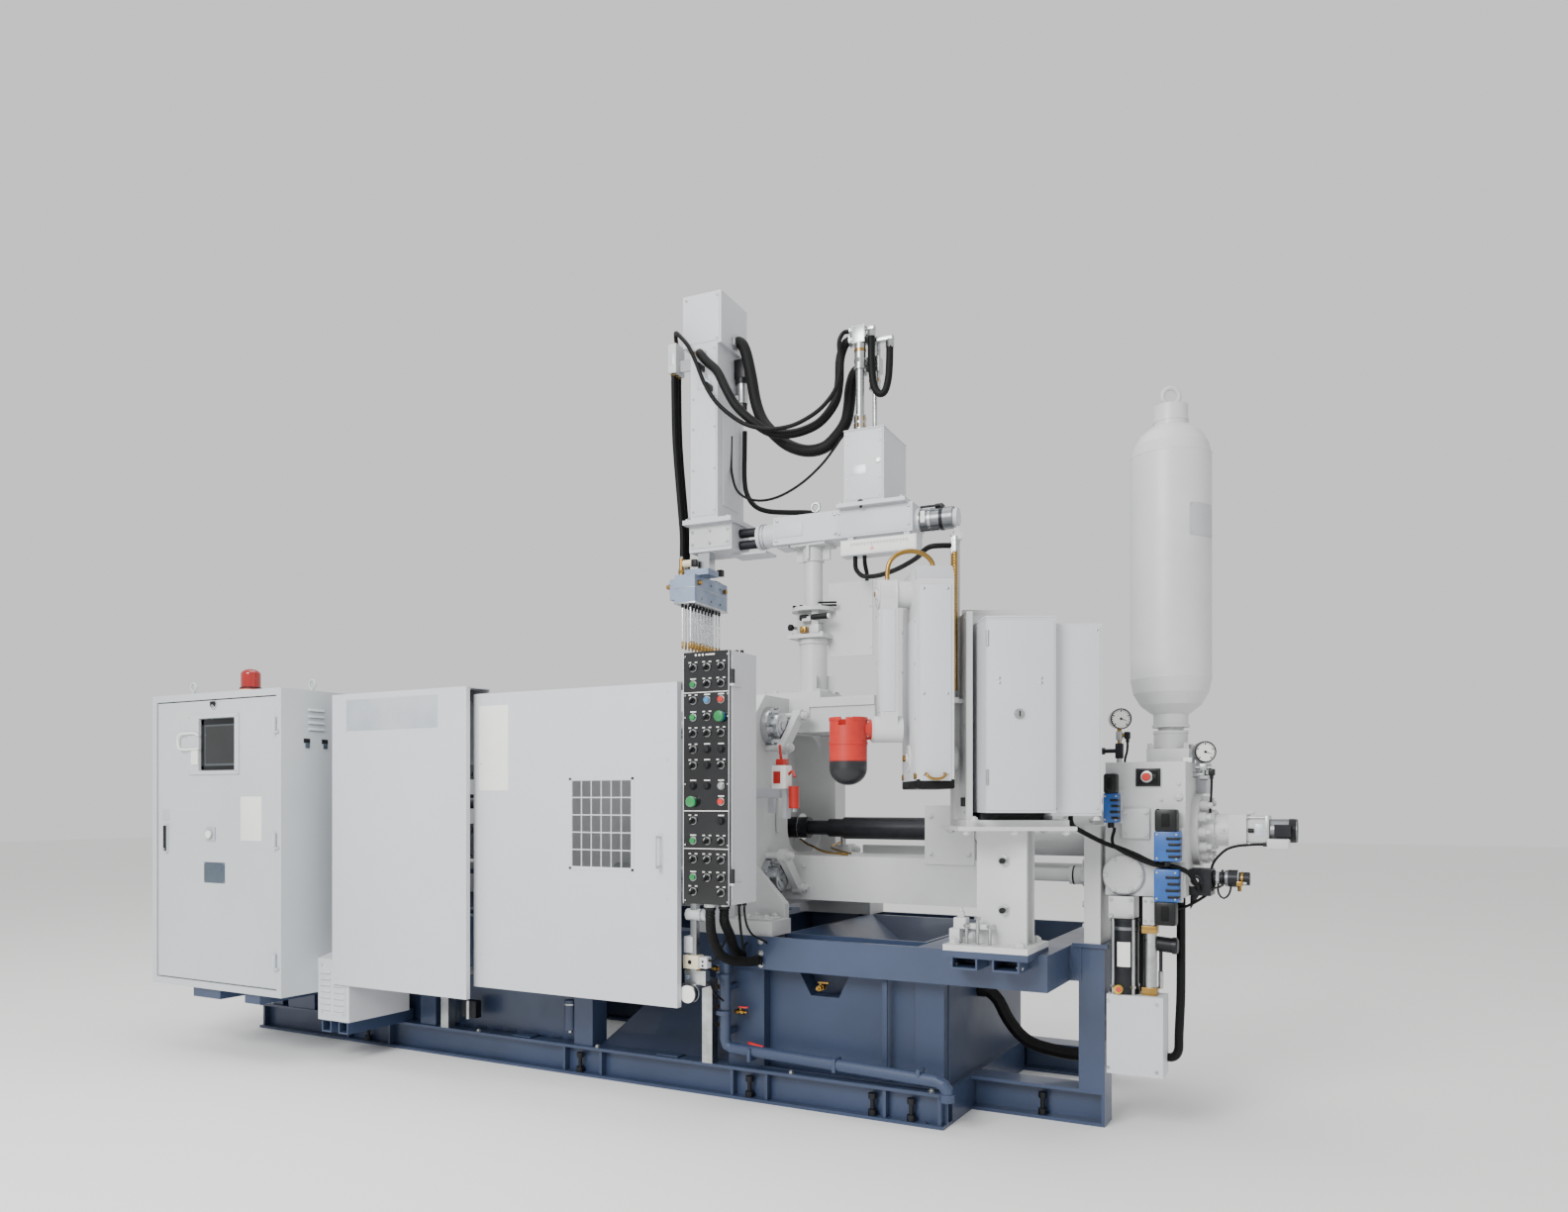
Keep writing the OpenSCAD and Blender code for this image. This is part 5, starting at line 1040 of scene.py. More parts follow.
bolts(
    "bottle_plate_rivets", "machine",
    [
        ((bottleX + 0.1398 * math.cos(a), 0.1398 * math.sin(a), z0), (math.cos(a), math.sin(a), 0), 0.0028)
        for a in (arc[0] + 0.04, arc[-1] - 0.04)
        for z0 in (2.092, 2.19)
    ],
    zinc, "pan",
)
print("bottle done")


# Gauges
def dial(build, at, facing, radius):
    facing = Vector(facing).normalized()
    side = facing.cross(Vector(up)).normalized()
    at = Vector(at)
    build.turned(at, facing, [(0, radius * 0.93), (0.0008, radius * 0.93), (0.001, radius * 0.9)], whitePlate, 40)
    rim = [
        (0, radius * 0.9), (0.0001, radius), (0.004, radius), (0.0055, radius * 0.96), (0.004, radius * 0.9),
        (0.0002, radius * 0.9),
    ]
    build.turned(at, facing, rim, blackSteel, 40)
    at = at + facing * 0.001
    for i in range(21):
        a = math.radians(-135 + 13.5 * i)
        spoke = side * math.sin(a) + Vector(up) * math.cos(a)
        across = facing.cross(spoke) * radius * (0.03 if i % 5 else 0.05)
        inner, outer = at + spoke * radius * (0.76 if i % 5 else 0.66), at + spoke * radius * 0.87
        build.prism([inner - across, inner + across, outer + across, outer - across], facing * 0.0004, blackSteel)
    spoke = side * math.sin(-1.9) + Vector(up) * math.cos(-1.9)
    across = facing.cross(spoke) * radius * 0.05
    build.prism([at - across, at + across, at + spoke * radius * 0.7], facing * 0.0012, blackSteel)
    build.turned(at, facing, [(0, radius * 0.12), (0.002, radius * 0.12), (0.0024, radius * 0.08)], blackSteel, 16)


look = Vector((0.5, -0.866, 0))
gauges = Build()
dial(gauges, Vector((2.3, -0.1, 1.445)) + look * 0.0152, look, 0.038)
dial(gauges, Vector((2.575, -0.04, 1.322)) + look * 0.0152, look, 0.038)
gauges.rod((2.3, -0.1, 1.4), (2.3, -0.1, 1.413), 0.0085, brass, 6)
gauges.block((2.289, -0.111, 1.368), (2.311, -0.089, 1.401), zinc, 0.003)
gauges.rod((2.3095, -0.1, 1.386), (2.32, -0.1, 1.386), 0.0075, brass, 6)
gauges.block((2.318, -0.113, 1.372), (2.337, -0.087, 1.398), blackPlastic, 0.003)
gauges.rod((2.328, -0.1, 1.36), (2.328, -0.1, 1.373), 0.0065, blackPlastic, 10)
gauges.rod((2.3, -0.1, 1.356), (2.3, -0.1, 1.369), 0.008, brass, 6)
gauges.block((2.287, -0.114, 1.302), (2.313, -0.086, 1.357), blackSteel, 0.003)
gauges.rod((2.25, -0.1, 1.33), (2.288, -0.1, 1.33), 0.008, blackSteel, 12)
gauges.turned((2.249, -0.1, 1.33), left, [(0, 0.013), (0.018, 0.013), (0.02, 0.011)], blackPlastic, 12)
gauges.rod((2.3, -0.1, 1.2835), (2.3, -0.1, 1.303), 0.0105, zinc, 6)
gauges.block((2.563, -0.052, 1.256), (2.587, -0.028, 1.28), zinc, 0.003)
gauges.rod((2.575, -0.04, 1.279), (2.575, -0.04, 1.287), 0.0095, zinc, 6)
gauges.rod((2.548, -0.04, 1.268), (2.602, -0.04, 1.268), 0.0075, zinc, 6)
gauges.rod((2.5415, -0.04, 1.242), (2.556, -0.04, 1.242), 0.0115, zinc, 6)
gauges.rod((2.562, -0.04, 1.232), (2.59, -0.04, 1.232), 0.0105, zinc, 6)
gauges.block((2.592, -0.053, 1.238), (2.613, -0.027, 1.262), blackPlastic, 0.004)
gauges.rod((2.602, -0.04, 1.226), (2.602, -0.04, 1.239), 0.0065, blackPlastic, 10)
gauges.done("gauge_faces_and_fittings", "machine")

cableRuns = (  # name, radius, rib pitch, points
    (
        "gauge_cable_left", 0.004, 0,
        [
            (2.328, -0.1, 1.361), (2.328, -0.1, 1.345), (2.326, -0.1, 1.325), (2.32, -0.101, 1.302),
            (2.319, -0.101, 1.2842),
        ],
    ),
    (
        "gauge_cable_right", 0.004, 0,
        [
            (2.602, -0.04, 1.227), (2.602, -0.04, 1.208), (2.601, -0.04, 1.18), (2.599, -0.038, 1.145),
            (2.597, -0.037, 1.125), (2.597, -0.037, 1.107),
        ],
    ),
    (
        "injection_motor_cable", 0.0045, 0,
        [
            (2.769, -0.06, 0.998), (2.752, -0.06, 0.998), (2.725, -0.062, 0.996), (2.69, -0.066, 0.992),
            (2.655, -0.069, 0.98), (2.628, -0.071, 0.955), (2.612, -0.073, 0.932), (2.606, -0.074, 0.912),
        ],
    ),
    (
        "relief_loop", 0.0032, 0,
        [
            (2.632, -0.112, 0.862), (2.631, -0.116, 0.848), (2.634, -0.12, 0.828), (2.648, -0.122, 0.812),
            (2.664, -0.12, 0.822), (2.671, -0.115, 0.842), (2.672, -0.11, 0.862),
        ],
    ),
    (
        "relief_return", 0.005, 0,
        [
            (2.618, -0.108, 0.86), (2.616, -0.112, 0.846), (2.6, -0.122, 0.826), (2.566, -0.14, 0.8),
            (2.53, -0.165, 0.78), (2.492, -0.19, 0.768), (2.462, -0.204, 0.764), (2.4465, -0.206, 0.764),
        ],
    ),
    (
        "valve_cable_bundle", 0.0085, 0.006,
        [
            (2.205, -0.44, 1.101), (2.205, -0.438, 1.08), (2.212, -0.425, 1.06), (2.236, -0.385, 1.04),
            (2.27, -0.335, 1.015), (2.3, -0.305, 0.998), (2.339, -0.29, 0.984), (2.391, -0.28, 0.962),
            (2.44, -0.274, 0.938), (2.49, -0.268, 0.927), (2.53, -0.258, 0.918), (2.556, -0.238, 0.9),
            (2.57, -0.205, 0.868), (2.574, -0.178, 0.848), (2.575, -0.164, 0.843), (2.575, -0.1498, 0.843),
        ],
    ),
    (
        "valve_cable_second", 0.0055, 0,
        [
            (2.318, -0.282, 1.056), (2.317, -0.283, 1.044), (2.312, -0.29, 1.02), (2.318, -0.302, 0.996),
            (2.345, -0.308, 0.976), (2.392, -0.302, 0.952), (2.44, -0.293, 0.932), (2.48, -0.285, 0.924),
            (2.487, -0.283, 0.926),
        ],
    ),
)
for name, radius, ribs, points in cableRuns:
    hose(name, points, radius, ribs=ribs)

# Charge pump
pump = {"axis": (2.346, -0.245), "tube": (2.43, -0.245), "foot": 0.4785, "head": (0.7385, 0.818)}
drive = Build()
px0, py0 = pump["axis"]
drive.block((2.2944, -0.2706, pump["head"][0]), (2.3806, -0.1744, pump["head"][1]), castEnamel, 0.003)
drive.block((2.4074, -0.2656, 0.7194), (2.4466, -0.1994, 0.8176), castEnamel, 0.003)
drive.rod((px0, py0, 0.729), (px0, py0, 0.74), 0.048, blackSteel, 36)
drive.rod((px0, py0, 0.7), (px0, py0, 0.712), 0.0475, linkSteel, 36)
drive.rod((px0, py0, pump["foot"]), (px0, py0, 0.5), 0.049, blackSteel, 36)
arc = [math.radians(-112 + 6 * i) for i in range(10)]
edge = [(r * math.cos(a), r * math.sin(a)) for r, line in ((0.0463, arc), (0.0474, arc[::-1])) for a in line]
drive.prism([(px0 + x0, py0 + y0, 0.575) for x0, y0 in edge], (0, 0, 0.085), whitePlate)
for s in (-1, 1):
    for t in (-1, 1):
        drive.rod(
            (px0 + s * 0.0336, py0 + t * 0.0336, pump["foot"]), (px0 + s * 0.0336, py0 + t * 0.0336, 0.74), 0.0063,
            zinc, 12,
        )
        drive.rod(
            (px0 + s * 0.0336, py0 + t * 0.0336, 0.5), (px0 + s * 0.0336, py0 + t * 0.0336, 0.509), 0.01, zinc, 6
        )
drive.rod((2.334, -0.312, 0.497), (2.334, -0.29, 0.497), 0.015, yellowPlate, 18)
drive.rod((2.338, -0.317, 0.499), (2.338, -0.311, 0.499), 0.009, buttonRed, 14)
tx0, ty0 = pump["tube"]
drive.rod((tx0, ty0, pump["foot"]), (tx0, ty0, 0.7), 0.0214, zinc, 28)
drive.block((tx0 - 0.025, ty0 - 0.025, 0.692), (tx0 + 0.025, ty0 + 0.025, 0.718), brass, 0.002)
drive.block((tx0 - 0.025, ty0 - 0.025, pump["foot"]), (tx0 + 0.025, ty0 + 0.025, 0.506), brass, 0.002)
drive.rod((2.4465, -0.222, 0.655), (2.5, -0.222, 0.65), 0.026, blackPlastic, 24)
drive.turned((2.499, -0.222, 0.65), right, [(0, 0.029), (0.014, 0.029), (0.018, 0.024)], blackSteel, 24)
drive.rod((2.462, -0.228, 0.5), (2.462, -0.228, 0.56), 0.009, zinc, 6)
drive.rod((2.462, -0.228, 0.556), (2.462, -0.228, 0.632), 0.006, blackSteel, 10)
drive.done("charge_pump_fittings", "machine")
bolts(
    "charge_pump_bolts", "machine",
    grid((2.305, 2.37), (-0.2706,), (0.75, 0.806), front, 0.0062)
    + grid((2.417, 2.437), (-0.2656,), (0.735, 0.803), front, 0.0042)
    + grid((2.3, 2.46), (-0.3001,), (0.225, 0.455), front, 0.005),
    zinc, "cap",
)
print("pump done")

# Sprayer, in its own frame: column and beam
beam = {"box": (0.178, 0.348, 0.0735, 0.3685), "boxFace": -0.107, "scale": (0.163, 0.485, -0.143, -0.08)}
over = Build(spray)
x0, x1, z0, z1 = beam["box"]
y = beam["boxFace"]
over.block((x0 + 0.006, y - 0.003, z0 + 0.008), (x1 - 0.006, y + 0.0005, z1 - 0.008), lightEnamel, 0.0012)
over.block((x0 - 0.002, y - 0.004, z1 - 0.002), (x1 + 0.002, 0.192, z1 + 0.003), lightEnamel)
over.block((x0 + 0.03, y - 0.004, z0 + 0.11), (x0 + 0.095, y - 0.0028, z0 + 0.15), barePlate, 0.0005)
over.turned(
    (x1 - 0.022, y - 0.003, 0.232), front, [(0, 0.011), (0.003, 0.011), (0.0035, 0.008), (0.006, 0.008)], zinc, 18
)
over.turned((0.248, -0.098, 0.0735), front, [(0, 0.012), (0.01, 0.012), (0.013, 0.01)], blackPlastic, 16)
over.rod((0.248, -0.1, 0.05), (0.248, -0.1, 0.078), 0.006, blackPlastic, 12)
over.block((-0.15, -0.0775, -0.03), (-0.02, -0.0745, 0.03), lightEnamel)
over.block((0.135, -0.0775, -0.052), (0.45, -0.0745, 0.052), lightEnamel)
sx0, sx1, sz0, sz1 = beam["scale"]
over.block((sx0 + 0.004, -0.1115, sz0 + 0.004), (sx1 - 0.004, -0.1095, sz1 - 0.004), whitePlate, 0.0005)
for i in range(41):
    tx = sx0 + 0.046 + 0.006 * i
    over.block(
        (tx - 0.0006, -0.1121, -0.105 - (0.004 if i % 5 == 0 else 0)), (tx + 0.0006, -0.1113, -0.094), blackSteel, 0
    )
over.prism([(0.3, -0.1135, -0.11), (0.292, -0.1135, -0.126), (0.308, -0.1135, -0.126)], (0, 0.002, 0), buttonRed)
for tx, radius, length, finish in (
    (0.4705, 0.0525, 0.006, zinc), (0.476, 0.0448, 0.032, linkSteel), (0.5075, 0.0475, 0.012, zinc),
    (0.519, 0.0452, 0.036, linkSteel), (0.5545, 0.047, 0.014, blackSteel), (0.568, 0.045, 0.0395, linkSteel),
    (0.6265, 0.0362, 0.0004, blackPlastic),
):
    over.rod((tx, 0, -0.007), (tx + length, 0, -0.007), radius, finish, 36)
over.block((0.482, -0.0475, -0.024), (0.5, -0.044, 0.022), whitePlate, 0.0008)
over.block((0.535, -0.022, 0.032), (0.566, 0.022, 0.052), blackPlastic, 0.003)
for tx, tz in ((0.479, 0.04), (0.479, -0.054), (0.512, 0.04), (0.512, -0.054)):
    over.rod((tx, -0.036, tz), (tx + 0.045, -0.036, tz), 0.005, blackSteel, 10)
over.pipe(
    [
        (0.276, -0.052, 0.792), (0.276, -0.052, 0.74), (0.278, -0.052, 0.64), (0.287, -0.052, 0.562),
        (0.308, -0.05, 0.524), (0.332, -0.046, 0.53), (0.345, -0.04, 0.58), (0.347, -0.03, 0.65),
        (0.345, -0.02, 0.722),
    ],
    0.015, rubber, 14,
)
over.block((0.258, -0.068, 0.786), (0.292, -0.036, 0.806), zinc, 0.005)
over.block((0.25, -0.062, 0.772), (0.262, -0.042, 0.8), zinc, 0.003)
over.block((0.262, -0.036, 0.744), (0.361, -0.004, 0.766), zinc, 0.006)
over.rod((0.345, -0.02, 0.715), (0.345, -0.02, 0.748), 0.0175, zinc, 6)
over.rod((0.276, -0.052, 0.762), (0.276, -0.052, 0.79), 0.0175, zinc, 6)
eye = [
    (0.028 + 0.019 * math.cos(a), -0.045, 0.089 + 0.019 * math.sin(a)) for a in [math.pi / 4 * i for i in range(9)]
]
for a, b in zip(eye, eye[1:]):  # the eye bolt on the beam
    over.rod(a, b, 0.0055, zinc, 8)
over.turned((0.028, -0.045, 0.0575), up, [(0, 0.014), (0.005, 0.014), (0.006, 0.008), (0.015, 0.006)], zinc, 16)
for tx in (-0.236, -0.222):
    over.rod((tx, 0, 0), (tx + 0.004, 0, 0), 0.0542, zinc, 40)
px0, py0 = 0.232, -0.064
for low, high, radius, finish, sides in (
    (0.3685, 0.38, 0.03, zinc, 6), (0.385, 0.405, 0.0262, brass, 6), (0.412, 0.434, 0.0262, brass, 6),
    (0.628, 0.64, 0.0245, zinc, 24), (0.655, 0.672, 0.0255, zinc, 6), (0.7, 0.712, 0.0245, brass, 24),
):
    over.rod((px0, py0, low), (px0, py0, high), radius, finish, sides)
for low, high, radius, finish, sides in (
    (0.3685, 0.378, 0.017, zinc, 6), (0.392, 0.404, 0.0145, brass, 6), (0.56, 0.572, 0.0245, zinc, 6),
    (0.59, 0.604, 0.025, brass, 6), (0.72, 0.732, 0.0248, zinc, 6), (0.758, 0.7725, 0.024, brass, 20),
):
    over.rod((0.273, 0.003, low), (0.273, 0.003, high), radius, finish, sides)
over.block((0.2045, -0.089, 0.733), (0.2585, -0.039, 0.804), zinc, 0.004)
for point, axis, radius, length in (
    ((0.19, -0.076, 0.79), right, 0.0125, 0.016), ((0.187, -0.062, 0.754), right, 0.0215, 0.018),
    ((0.226, 0.003, 0.66), right, 0.028, 0.02),
):
    ferrule(over, point, axis, radius, length)
over.done("spray_box_and_beam_fittings", "machine")
bolts(
    "spray_box_screws", "machine",
    grid((0.192, 0.334), (beam["boxFace"] - 0.003,), (0.092, 0.166, 0.314, 0.35), front, 0.0045)
    + [
        ((tx, -0.0775, tz), front, 0.0062)
        for tx, tz in (
            (-0.137, 0.042), (0.124, 0.042), (0.128, -0.037), (-0.141, -0.042), (0.442, 0.042), (0.442, -0.032),
            (0.145, 0.042), (0.145, -0.042),
        )
    ]
    + grid((0.17, 0.478), (-0.11,), (-0.136, -0.087), front, 0.0035)
    + ring((0.471, 0, -0.007), 0.047, 6, right, 0.0045),
    zinc, "pan", spray,
)
bolts(
    "spray_deck_bolts", "machine",
    grid((0.16, 0.42), (-0.1, 0.18), (0.0735,), up, 0.0075)
    + grid((-0.13, 0.12), (-0.055, 0.055), (0.0585,), up, 0.0085),
    castEnamel, "cap", spray,
)
post = Build(Matrix.Translation((columnX, 0, 0)))
post.rod((0, 0, 1.6025), (0, 0, 1.618), 0.072, castEnamel, 40, 0.003)
post.rod((0, 0, 1.8105), (0, 0, 1.836), 0.064, castEnamel, 40, 0.003)
post.rod((0, 0, 1.902), (0, 0, 1.926), 0.048, castEnamel, 36, 0.003)
post.block((-0.02, -0.075, 1.904), (0.02, -0.04, 1.924), castEnamel, 0.003)
post.rod((-0.032, -0.064, 1.921), (0.004, -0.064, 1.921), 0.0125, blackPlastic, 16)
post.rod((0.022, -0.064, 1.921), (0.096, -0.064, 1.921), 0.012, blackPlastic, 16)
post.rod((0.095, -0.064, 1.921), (0.104, -0.064, 1.921), 0.01, whitePlate, 16)
post.rod((0.002, -0.064, 1.921), (0.024, -0.064, 1.921), 0.006, zinc, 10)
post.turned(
    (-0.072, -0.052, 1.884), (-0.5, -0.866, 0), [(0, 0.01), (0.006, 0.014), (0.018, 0.014), (0.021, 0.01)],
    blackPlastic, 16,
)
post.rod((-0.06, -0.03, 1.884), (-0.072, -0.052, 1.884), 0.007, zinc, 10)
post.block((-0.03, -0.074, 1.856), (-0.004, -0.04, 1.884), brass, 0.003)
post.rod((-0.017, -0.08, 1.87), (-0.017, -0.072, 1.87), 0.008, brass, 6)
post.block((0.02, -0.072, 1.853), (0.056, -0.042, 1.89), castEnamel, 0.004)
for tz in (1.972, 1.984):
    post.rod((0.04, -0.04, tz), (0.112, -0.01, tz), 0.0045, blackPlastic, 10)
for tx in (-0.056, -0.024):
    post.rod((tx, -0.072, 1.9655), (tx, -0.072, 1.974), 0.0075, blackSteel, 12)
post.done("spray_column_fittings", "machine")
bolts(
    "spray_column_bolts", "machine",
    [((tx, ty, 1.603), up, 0.0125) for tx in (-0.19, -0.135, 0.066) for ty in (-0.092, 0.092)]
    + ring((0, 0, 1.966), 0.078, 8, up, 0.008)
    + [((tx, ty, 1.851), up, 0.008) for tx in (-0.072, 0.068) for ty in (-0.066, 0.066)]
    + grid((0.252,), (0.02,), (1.79, 1.96), front, 0.0045),
    castEnamel, "hex", Matrix.Translation((columnX, 0, 0)),
)
print("spray column done")

# Sprayer's carrier and lift
carrier = Build(spray)
carrier.block((-0.517, -0.1325, 0.09), (-0.4, -0.1295, 0.822), lightEnamel)
carrier.block((-0.553, -0.1325, 0.842), (-0.385, -0.1295, 1.046), lightEnamel)
carrier.block((-0.552, 0.1295, 0.842), (-0.385, 0.1325, 1.046), lightEnamel)
carrier.block((-0.517, 0.1295, 0.09), (-0.4, 0.1325, 0.822), lightEnamel)
carrier.block((-0.3935, -0.08, 0.14), (-0.39, 0.08, 0.56), lightEnamel)
carrier.block((-0.492, -0.1345, 0.64), (-0.428, -0.1315, 0.7), barePlate, 0.0006)
carrier.rod((-0.365, 0.06, 0.618), (-0.365, 0.06, 0.706), 0.026, zinc, 30)
carrier.rod((-0.365, 0.06, 0.705), (-0.365, 0.06, 0.726), 0.032, blackSteel, 24)
carrier.block((-0.394, 0.032, 0.726), (-0.34, 0.088, 0.812), blackPlastic, 0.005)
carrier.block((-0.394, 0.03, 0.632), (-0.372, 0.09, 0.65), castEnamel)
carrier.rod((-0.352, 0.06, 0.59), (-0.352, 0.06, 0.62), 0.01, blackPlastic, 12)
ferrule(carrier, (-0.47, -0.15, 0.79), back, 0.0215, 0.02)
carrier.turned((-0.505, -0.1325, 0.8), front, [(0, 0.01), (0.01, 0.01), (0.012, 0.008)], brass, 6)
ferrule(carrier, (-0.358, 0, 0.87), left, 0.028, 0.018)
for tx, ty, tz in ((-0.459, -0.165, 0.724), (-0.42, -0.166, 0.634)):  # hose clips
    carrier.block((tx - 0.006, ty - 0.032, tz - 0.012), (tx + 0.006, ty + 0.036, tz + 0.012), blackPlastic, 0.003)
carrier.rod((-0.54, -0.11, 0.0785), (-0.54, -0.11, 0.092), 0.01, zinc, 6)
carrier.block((-0.548, -0.0935, -0.04), (-0.352, -0.0895, 0.05), castEnamel)
carrier.done("spray_carrier_fittings", "spray_carrier")
bolts(
    "spray_carrier_screws", "spray_carrier",
    grid((-0.51, -0.407), (-0.1325,), (0.11, 0.29, 0.47, 0.6, 0.81), front, 0.0042)
    + grid((-0.544, -0.394), (-0.1325,), (0.852, 1.036), front, 0.0045)
    + grid((-0.51, -0.407), (0.1325,), (0.11, 0.35, 0.6, 0.81), back, 0.0042)
    + grid((-0.55, -0.35), (-0.117, 0.117), (0.079,), up, 0.0065)
    + grid((-0.535, -0.45, -0.365), (-0.0935,), (-0.022, 0.032), front, 0.006),
    zinc, "cap", spray,
)
lift = Build(spray)
lift.block((-0.6605, -0.0905, 0.7535), (-0.6195, -0.0095, 0.8845), castEnamel, 0.003)
lift.block((-0.651, -0.092, 0.79), (-0.629, -0.09, 0.85), barePlate, 0.0006)
for i in (-1, 0, 1):
    ferrule(lift, (-0.64, -0.05 + 0.026 * i, 0.742), up, 0.01, 0.0125, brass)
ferrule(lift, (-0.64, -0.05, 0.8835), up, 0.011, 0.014, brass)
for i in (-1, 0, 1):
    ferrule(lift, (-0.592, -0.058 + 0.027 * i, -0.1305), up, 0.0125, 0.02)
lift.block((-0.607, -0.132, -0.284), (-0.503, 0.192, -0.2765), zinc, 0.001)
lift.block((-0.6065, -0.1315, -0.215), (-0.5035, 0.1915, -0.212), zinc, 0.0008)
for far in (-0.102, 0.15):  # one valve on each end of the manifold
    lift.rod((-0.585, far, -0.158), (-0.585, far, -0.08), 0.0105, brass, 20)
    lift.rod((-0.585, far, -0.145), (-0.585, far, -0.132), 0.0145, brass, 6)
    lift.rod((-0.574, far, -0.104), (-0.53, far, -0.104), 0.0165, creamPlastic, 24)
    lift.block((-0.531, far - 0.014, -0.12), (-0.506, far + 0.014, -0.09), blackPlastic, 0.003)
    lift.rod((-0.585, far, -0.081), (-0.585, far, -0.071), 0.0075, zinc, 6)
    lift.turned(
        (-0.6395, far, -0.2), left, [(0, 0.014), (0.008, 0.014), (0.0085, 0.01), (0.018, 0.01), (0.02, 0.008)], brass,
        6,
    )
    lift.turned((-0.6395, far + 0.026, -0.235), left, [(0, 0.008), (0.01, 0.008), (0.012, 0.006)], zinc, 6)
lift.rod((-0.6, 0.182, -0.165), (-0.6, 0.182, -0.085), 0.0065, brass, 12)
lift.rod((-0.6, 0.182, -0.092), (-0.6, 0.182, -0.078), 0.0095, yellowPlate, 16)
lift.pipe(
    [(-0.6, 0.172, -0.13), (-0.56, 0.174, -0.135), (-0.53, 0.178, -0.15), (-0.515, 0.182, -0.16)], 0.005, blackSteel,
    10,
)
lift.rod((-0.5055, 0.16, -0.19), (-0.492, 0.16, -0.19), 0.011, brass, 6)
lift.rod((-0.5055, -0.09, -0.19), (-0.492, -0.09, -0.19), 0.011, brass, 6)
for i in range(10):
    for tx in (-0.575, -0.535):
        ty = -0.112 + 0.031 * i
        lift.rod((tx, ty, -0.298), (tx, ty, -0.283), 0.0062, blackSteel, 6)
        lift.turned((tx, ty, -0.4828), up, [(0, 0.003), (0.01, 0.0048), (0.034, 0.0052), (0.036, 0.0038)], brass, 10)
lift.done("spray_head_fittings", "spray_lift")
bolts(
    "spray_head_screws", "spray_lift",
    grid((-0.592, -0.518), (-0.07, 0.005, 0.08, 0.115), (-0.157,), up, 0.0055)
    + grid((-0.505,), (-0.06, 0.03, 0.12), (-0.185, -0.255), right, 0.005)
    + grid((-0.6605,), (-0.08, -0.02), (0.765, 0.873), left, 0.0042),
    zinc, "cap", spray,
)
print("spray lift done")

# Hoses and cables of the sprayer, those that cross a joint left free of any body
toMachine = ("spray_carrier", "machine", spray @ Vector((-0.4, 0, 0.6)), spray @ Vector((0.12, 0, 0.6)))
toCarrier = ("spray_lift", "spray_carrier", spray @ Vector((-0.635, 0, 0.8)), spray @ Vector((-0.465, 0, 0.8)))
sprayRuns = (  # name, radius, sides, between which bodies, points in mm
    (
        "spray_air_hose_upper", 0.009, 10, toCarrier,
        [
            (-640, -50, 884.3), (-640, -50, 892), (-640, -50, 900), (-630, -75, 925), (-606, -115, 915),
            (-570, -155, 885), (-505, -186, 812), (-459, -196, 724),
        ],
    ),
    (
        "spray_air_hose", 0.009, 10, toMachine,
        [
            (-459, -196, 724), (-420, -200, 634), (-370, -200, 554), (-310, -196, 492), (-239, -186, 440),
            (-159, -178, 410), (-88, -172, 402), (-8, -165, 412), (83, -157, 454), (143, -149, 514), (166, -140, 574),
            (170, -128, 650), (158, -114, 735), (164, -84, 784), (178, -76, 790), (190, -76, 790), (204.7, -76, 790),
        ],
    ),
    (
        "spray_mix_hose", 0.019, 16, toMachine,
        [
            (-470, -130.3, 790), (-470, -140, 790), (-470, -150, 790), (-452, -172, 772), (-420, -178, 735),
            (-369, -182, 684), (-320, -191, 594), (-280, -183, 524), (-219, -165, 460), (-147, -141, 406),
            (-75, -118, 392), (6, -103, 402), (76, -95, 434), (132, -88, 504), (146, -80, 584), (146, -70, 680),
            (160, -62, 738), (176, -62, 754), (190, -62, 754), (204.7, -62, 754),
        ],
    ),
    (
        "spray_wide_hose", 0.025, 18, toMachine,
        [
            (-375.7, 0, 870), (-364, 0, 870), (-352, 0, 870), (-332, -2, 850), (-312, -5, 800), (-287, -12, 700),
            (-260, -24, 584), (-221, -37, 494), (-161, -50, 424), (-92, -62, 364), (-3, -74, 324), (77, -76, 326),
            (128, -62, 370), (160, -40, 430), (168, -22, 500), (170, -8, 580), (184, 2, 640), (212, 3, 660),
            (228, 3, 660), (244.7, 3, 660),
        ],
    ),
)
for name, radius, sides, way, points in sprayRuns:
    hose(
        name, [spray @ (Vector(p) / 1000) for p in points], radius, sides=sides, crossing=way,
        replaced=("spray_hoses",),
    )
hose(
    "feed_cable",
    [
        (0.649, 0.08, 2.807), (0.649, 0.08, 2.78), (0.649, 0.078, 2.7), (0.65, 0.075, 2.6), (0.668, 0.065, 2.52),
        (0.72, 0.045, 2.455), (0.79, 0.03, 2.42), (0.886, 0.02, 2.4), (0.98, 0.008, 2.385), (1.041, 0.0, 2.372),
    ],
    0.011, crossing=toMachine,
)
hose(
    "sensor_cable",
    [
        (0.637, -0.02, 2.759), (0.637, -0.021, 2.735), (0.639, -0.026, 2.66), (0.648, -0.036, 2.59),
        (0.68, -0.05, 2.51), (0.74, -0.062, 2.462), (0.82, -0.07, 2.44), (0.91, -0.074, 2.448), (1.01, -0.075, 2.488),
        (1.1, -0.076, 2.55), (1.16, -0.078, 2.61), (1.186, -0.08, 2.64), (1.1975, -0.081, 2.65),
    ],
    0.0055, crossing=toMachine,
)
hose(
    "beam_cable",
    [
        (1.288, -0.06, 2.1535), (1.288, -0.06, 2.138), (1.284, -0.045, 2.118), (1.274, -0.005, 2.096),
        (1.266, 0.016, 2.084), (1.264, 0.0225, 2.0695),
    ],
    0.009, ribs=0.007,
)
